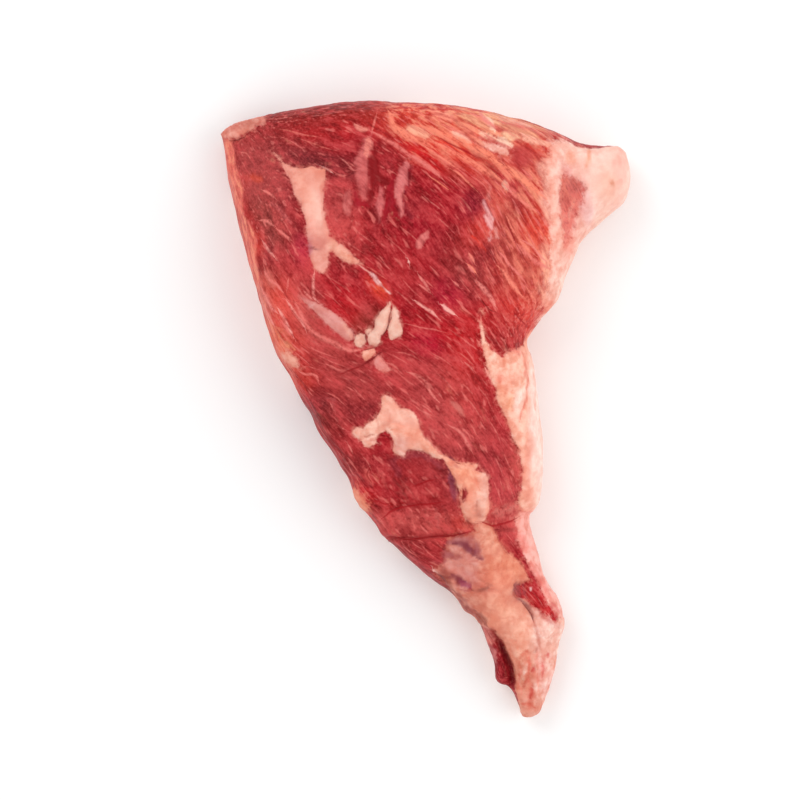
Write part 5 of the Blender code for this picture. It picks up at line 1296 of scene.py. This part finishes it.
def beef():
    material = bpy.data.materials.new("raw_beef")
    n = Nodes(material)
    out = n.add("ShaderNodeOutputMaterial")
    shader = n.add("ShaderNodeBsdfPrincipled")
    n.tree.links.new(shader.outputs[0], out.inputs[0])

    grain = n.attribute("grain")
    place = n.vector("MULTIPLY", n.add("ShaderNodeNewGeometry").outputs["Position"], (1000.0, 1000.0, 1000.0))
    fat_gap, skin, crease = n.split(n.attribute("masks"))
    marbling, cleft, calm = n.split(n.attribute("traits"))
    lively = n.math("MULTIPLY_ADD", calm, -0.6, 1.0)
    tone = n.attribute("tone", "Color")
    fat_tint = n.attribute("fat_tint", "Color")
    skin_tint = n.attribute("skin_tint", "Color")

    bundle = n.noise(n.vector("MULTIPLY", grain, (1 / 12, 1 / 2.6, 1 / 2.6)), detail=2, rough=0.5)
    strand = n.noise(n.vector("MULTIPLY", grain, (1 / 5.5, 1 / 0.85, 1 / 0.85)), detail=2, rough=0.55)
    hair = n.noise(n.vector("MULTIPLY", grain, (1 / 3.5, 1 / 0.42, 1 / 0.42)), detail=1, rough=0.5)
    cloud = n.noise(place, 1 / 19, 3, 0.55, 0.2)
    mottle = n.noise(place, 1 / 5.5, 3, 0.6, 0.2)
    fine = n.noise(place, 1 / 1.3, 3, 0.6)

    # lean: its tone, darker and lighter by place, then darker and paler fibres
    lean = n.mix(n.step(cloud, 0.36, 0.66), n.mix(1.0, tone, (0.82, 0.74, 0.76), "MULTIPLY"), n.mix(1.0, tone, (1.10, 1.08, 1.06), "MULTIPLY"))
    mixed = n.math("MULTIPLY_ADD", bundle, 0.42, n.math("MULTIPLY_ADD", strand, 0.42, n.math("MULTIPLY", fine, 0.16)))
    leaner = n.math("MULTIPLY", lively, n.math("MULTIPLY_ADD", marbling, -0.45, 1.0))
    gaps = n.math("MULTIPLY", n.step(bundle, 0.49, 0.33), n.math("MULTIPLY", leaner, 0.9))
    lean = n.mix(gaps, lean, n.mix(1.0, lean, (0.76, 0.52, 0.56), "MULTIPLY"))
    flesh = n.math("MULTIPLY", n.step(bundle, 0.50, 0.66), n.math("MULTIPLY", lively, 0.36))
    lean = n.mix(flesh, lean, colour((214, 74, 76)))
    gaps = n.math("MULTIPLY", n.step(mixed, 0.50, 0.39), n.math("MULTIPLY", leaner, 0.85))
    lean = n.mix(gaps, lean, n.mix(1.0, lean, (0.70, 0.46, 0.50), "MULTIPLY"))
    pale_colour = n.mix(n.step(marbling, 0.2, 0.8), colour((212, 82, 84)), colour((248, 156, 124)))
    pale = n.math("MULTIPLY", n.step(mixed, 0.50, 0.64), n.math("MULTIPLY_ADD", marbling, 0.46, 0.24))
    lean = n.mix(n.math("MULTIPLY", pale, lively), lean, pale_colour)
    broad = n.math("MULTIPLY", n.step(bundle, 0.47, 0.62), n.step(marbling, 0.35, 0.85, 0.0, 0.75))
    lean = n.mix(broad, lean, pale_colour)
    sparse = n.noise(n.vector("MULTIPLY", grain, (1 / 9, 1 / 1.25, 1 / 1.25)), detail=1, rough=0.4)
    bright = n.step(n.math("MULTIPLY_ADD", marbling, 0.06, sparse), 0.60, 0.76)
    lean = n.mix(n.math("MULTIPLY", bright, n.math("MULTIPLY", lively, 0.55)), lean, colour((236, 124, 116)))
    lean = n.mix(n.math("MULTIPLY", n.step(hair, 0.44, 0.62), 0.12), lean, colour((222, 92, 90)))
    lean = n.mix(n.math("MULTIPLY", n.step(hair, 0.48, 0.34), 0.30), lean, n.mix(1.0, lean, (0.70, 0.62, 0.62), "MULTIPLY"))
    lean = n.mix(n.math("MULTIPLY", n.step(fine, 0.50, 0.32), 0.45), lean, n.mix(1.0, lean, (0.74, 0.58, 0.62), "MULTIPLY"))
    lean = n.mix(n.math("MULTIPLY", n.step(fine, 0.52, 0.70), 0.22), lean, colour((220, 92, 92)))

    # silverskin
    sheath = n.mix(n.step(mixed, 0.38, 0.62), n.mix(1.0, skin_tint, (0.84, 0.70, 0.72), "MULTIPLY"), n.mix(1.0, skin_tint, (1.06, 1.14, 1.12), "MULTIPLY"))
    lean = n.mix(n.math("MULTIPLY", skin, n.step(mixed, 0.36, 0.56, 0.72, 1.0)), lean, sheath)

    # pale threads
    for name in ("thread_a", "thread_b", "thread_c"):
        ratio, presence, shade = n.split(n.attribute(name))
        ratio = n.math("ADD", ratio, n.math("MULTIPLY_ADD", mottle, 1.2, -0.6))
        thread = n.step(n.math("ABSOLUTE", ratio), 1.75, 0.1)
        thread = n.math("MULTIPLY", thread, presence)
        thread = n.math("MULTIPLY", thread, n.step(mixed, 0.36, 0.57, 0.22, 0.95))
        thread = n.math("MULTIPLY", thread, n.step(fine, 0.30, 0.55, 0.55, 1.0))
        thread = n.math("MULTIPLY", thread, n.step(shade, 0.2, 0.9, 1.0, 1.4), clamp=True)
        cream = n.mix(n.step(shade, -0.6, 0.0), colour((249, 140, 110)), colour((228, 120, 112)))
        cream = n.mix(n.step(shade, 0.1, 0.9), cream, colour((246, 184, 172)))
        lean = n.mix(thread, lean, cream)

    # fat
    edge = n.math("ADD", fat_gap, n.math("MULTIPLY_ADD", fine, 0.7, -0.35))
    edge = n.math("ADD", edge, n.math("MULTIPLY_ADD", mottle, 1.5, -0.75))
    edge = n.math("ADD", edge, n.math("MULTIPLY_ADD", strand, 0.4, -0.2))
    grit = n.noise(place, 1 / 2.6, 3, 0.6)
    fat = n.mix(n.step(mottle, 0.36, 0.64), n.mix(1.0, fat_tint, (0.86, 0.68, 0.63), "MULTIPLY"), n.mix(1.0, fat_tint, (1.01, 1.14, 1.17), "MULTIPLY"))
    fat = n.mix(n.step(grit, 0.54, 0.36, 0.0, 0.8), fat, n.mix(1.0, fat, (0.88, 0.76, 0.73), "MULTIPLY"))
    fat = n.mix(n.step(grit, 0.52, 0.68, 0.0, 0.7), fat, n.mix(1.0, fat, (1.04, 1.16, 1.18), "MULTIPLY"))
    fat = n.mix(n.math("MULTIPLY", n.step(fine, 0.50, 0.70), 0.5), fat, n.mix(1.0, fat, (0.90, 0.74, 0.70), "MULTIPLY"))
    rosy = n.math("MULTIPLY", n.step(cloud, 0.45, 0.68), 0.22)
    fat = n.mix(rosy, fat, colour((240, 140, 122)))
    fat = n.mix(n.math("MULTIPLY", calm, 0.75), fat, n.mix(1.0, fat_tint, (0.97, 0.98, 0.98), "MULTIPLY"))
    rim_share = n.math("MULTIPLY", n.step(edge, 1.3, 0.0), 0.26)
    fat = n.mix(rim_share, fat, n.mix(1.0, fat_tint, (0.90, 0.62, 0.60), "MULTIPLY"))
    # painted shade in the creases of crumpled fat, on the fat and on the lean
    fat = n.mix(n.math("MULTIPLY", crease, n.step(mottle, 0.40, 0.60, 0.05, 0.50)), fat, colour((200, 100, 86)))
    lean = n.mix(n.math("MULTIPLY", crease, 0.45), lean, colour((160, 46, 42)))
    # a thin film of fat reaches out over the lean in places
    near_fat = n.math("MULTIPLY", n.step(edge, -1.7, -0.1), n.step(grit, 0.42, 0.60, 0.0, 0.42))
    lean = n.mix(near_fat, lean, n.mix(1.0, fat, (0.92, 0.74, 0.74), "MULTIPLY"))
    surface = n.mix(n.step(edge, -0.45, 0.40), lean, fat)

    # cracks and the cleft: painted shade along the cracks, turned towards blood red by their redness, and painted shade
    # in the cleft
    ratio, presence, redness = n.split(n.attribute("crack"))
    ratio = n.math("ADD", ratio, n.math("MULTIPLY_ADD", mottle, 1.0, -0.5))
    crack = n.math("MULTIPLY", n.step(n.math("ABSOLUTE", ratio), 1.6, 0.0), presence)
    crack = n.math("MULTIPLY", crack, n.step(fine, 0.3, 0.55, 0.6, 0.9))
    surface = n.mix(crack, surface, n.mix(redness, n.mix(1.0, surface, (0.42, 0.28, 0.28), "MULTIPLY"), colour((166, 20, 28))))
    surface = n.mix(n.math("MULTIPLY", cleft, 0.85), surface, colour((112, 12, 24)))

    n.feed(shader, "Base Color", surface)
    wet = n.math("ADD", n.step(mottle, 0.3, 0.7, 0.34, 0.50), n.math("MULTIPLY", n.step(edge, -0.1, 0.2), 0.06))
    n.feed(shader, "Roughness", wet)
    shader.inputs["Metallic"].default_value = 0.0
    shader.inputs["IOR"].default_value = 1.40
    shader.inputs["Specular IOR Level"].default_value = 0.10
    shader.inputs["Subsurface Weight"].default_value = 0.10
    shader.inputs["Subsurface Radius"].default_value = (1.0, 0.42, 0.32)
    shader.inputs["Subsurface Scale"].default_value = 0.0022
    shader.inputs["Coat Weight"].default_value = 0.02
    shader.inputs["Coat Roughness"].default_value = 0.22

    height = n.math("ADD", n.math("MULTIPLY", strand, 0.5), n.math("MULTIPLY", hair, 0.28))
    height = n.math("MULTIPLY", height, n.step(edge, 0.2, -0.2, 0.25, 1.0))
    height = n.math("MULTIPLY_ADD", fine, 0.22, height)
    bump = n.add("ShaderNodeBump")
    bump.inputs["Strength"].default_value = 0.75
    bump.inputs["Distance"].default_value = 0.0006
    n.feed(bump, "Height", height)
    n.feed(shader, "Normal", bump.outputs[0])
    return material


# ------------------------------------------------------------------ floor, light and camera
def plain(name, rgb, roughness):
    material = bpy.data.materials.new(name)
    material.use_nodes = True
    shader = material.node_tree.nodes["Principled BSDF"]
    shader.inputs["Base Color"].default_value = (*rgb, 1.0)
    shader.inputs["Roughness"].default_value = roughness
    shader.inputs["Specular IOR Level"].default_value = 0.2
    return material


def area_light(name, place, aim, size, power, tint=(1.0, 1.0, 1.0)):
    light = bpy.data.lights.new(name, "AREA")
    light.shape, light.size, light.energy, light.color = "DISK", size, power, tint
    obj = bpy.data.objects.new(name, light)
    bpy.context.scene.collection.objects.link(obj)
    obj.location = place
    from mathutils import Vector

    obj.rotation_euler = (Vector(aim) - Vector(place)).to_track_quat("-Z", "Y").to_euler()


def studio(middle):
    bm = bmesh.new()
    bmesh.ops.create_grid(bm, x_segments=2, y_segments=2, size=4.0)
    mesh = bpy.data.meshes.new("floor")
    bm.to_mesh(mesh)
    bm.free()
    floor = bpy.data.objects.new("floor", mesh)
    bpy.context.scene.collection.objects.link(floor)
    mesh.materials.append(plain("pale_floor", (0.96, 0.96, 0.96), 0.9))

    world = bpy.data.worlds.new("studio")
    world.use_nodes = True
    world.node_tree.nodes["Background"].inputs["Color"].default_value = (1.0, 1.0, 1.0, 1.0)
    world.node_tree.nodes["Background"].inputs["Strength"].default_value = 0.83
    bpy.context.scene.world = world
    area_light("key", (-0.85, 0.9, 1.3), (0, 0, 0), 1.2, 7.6)
    area_light("fill", (1.25, -0.1, 1.0), (0, 0, 0), 1.6, 7.6)

    scene = bpy.context.scene
    scene.view_settings.view_transform = "Standard"
    scene.view_settings.look = "None"
    scene.view_settings.exposure = 0.0
    scene.view_settings.gamma = 1.0

    camera = bpy.data.cameras.new("camera")
    camera.type = "PERSP"
    camera.sensor_width = 36.0
    half = 400 * UNIT * MM
    camera.lens = 18.0 * (EYE_H - WAIST_H) * MM / half
    camera.clip_start, camera.clip_end = 0.05, 20.0
    obj = bpy.data.objects.new("camera", camera)
    scene.collection.objects.link(obj)
    obj.location = (
        ((VIEW_X - PLAN_X) * UNIT - middle[0]) * MM,
        ((PLAN_Y - VIEW_Y) * UNIT - middle[1]) * MM,
        EYE_H * MM,
    )
    obj.rotation_euler = (0.0, 0.0, 0.0)
    scene.camera = obj


body, outline, middle = make_body()
shape_and_paint(body, outline, middle)
body.data.materials.clear()
body.data.materials.append(beef())
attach(body, "root")
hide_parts("tri_tip_steak")
studio(middle)
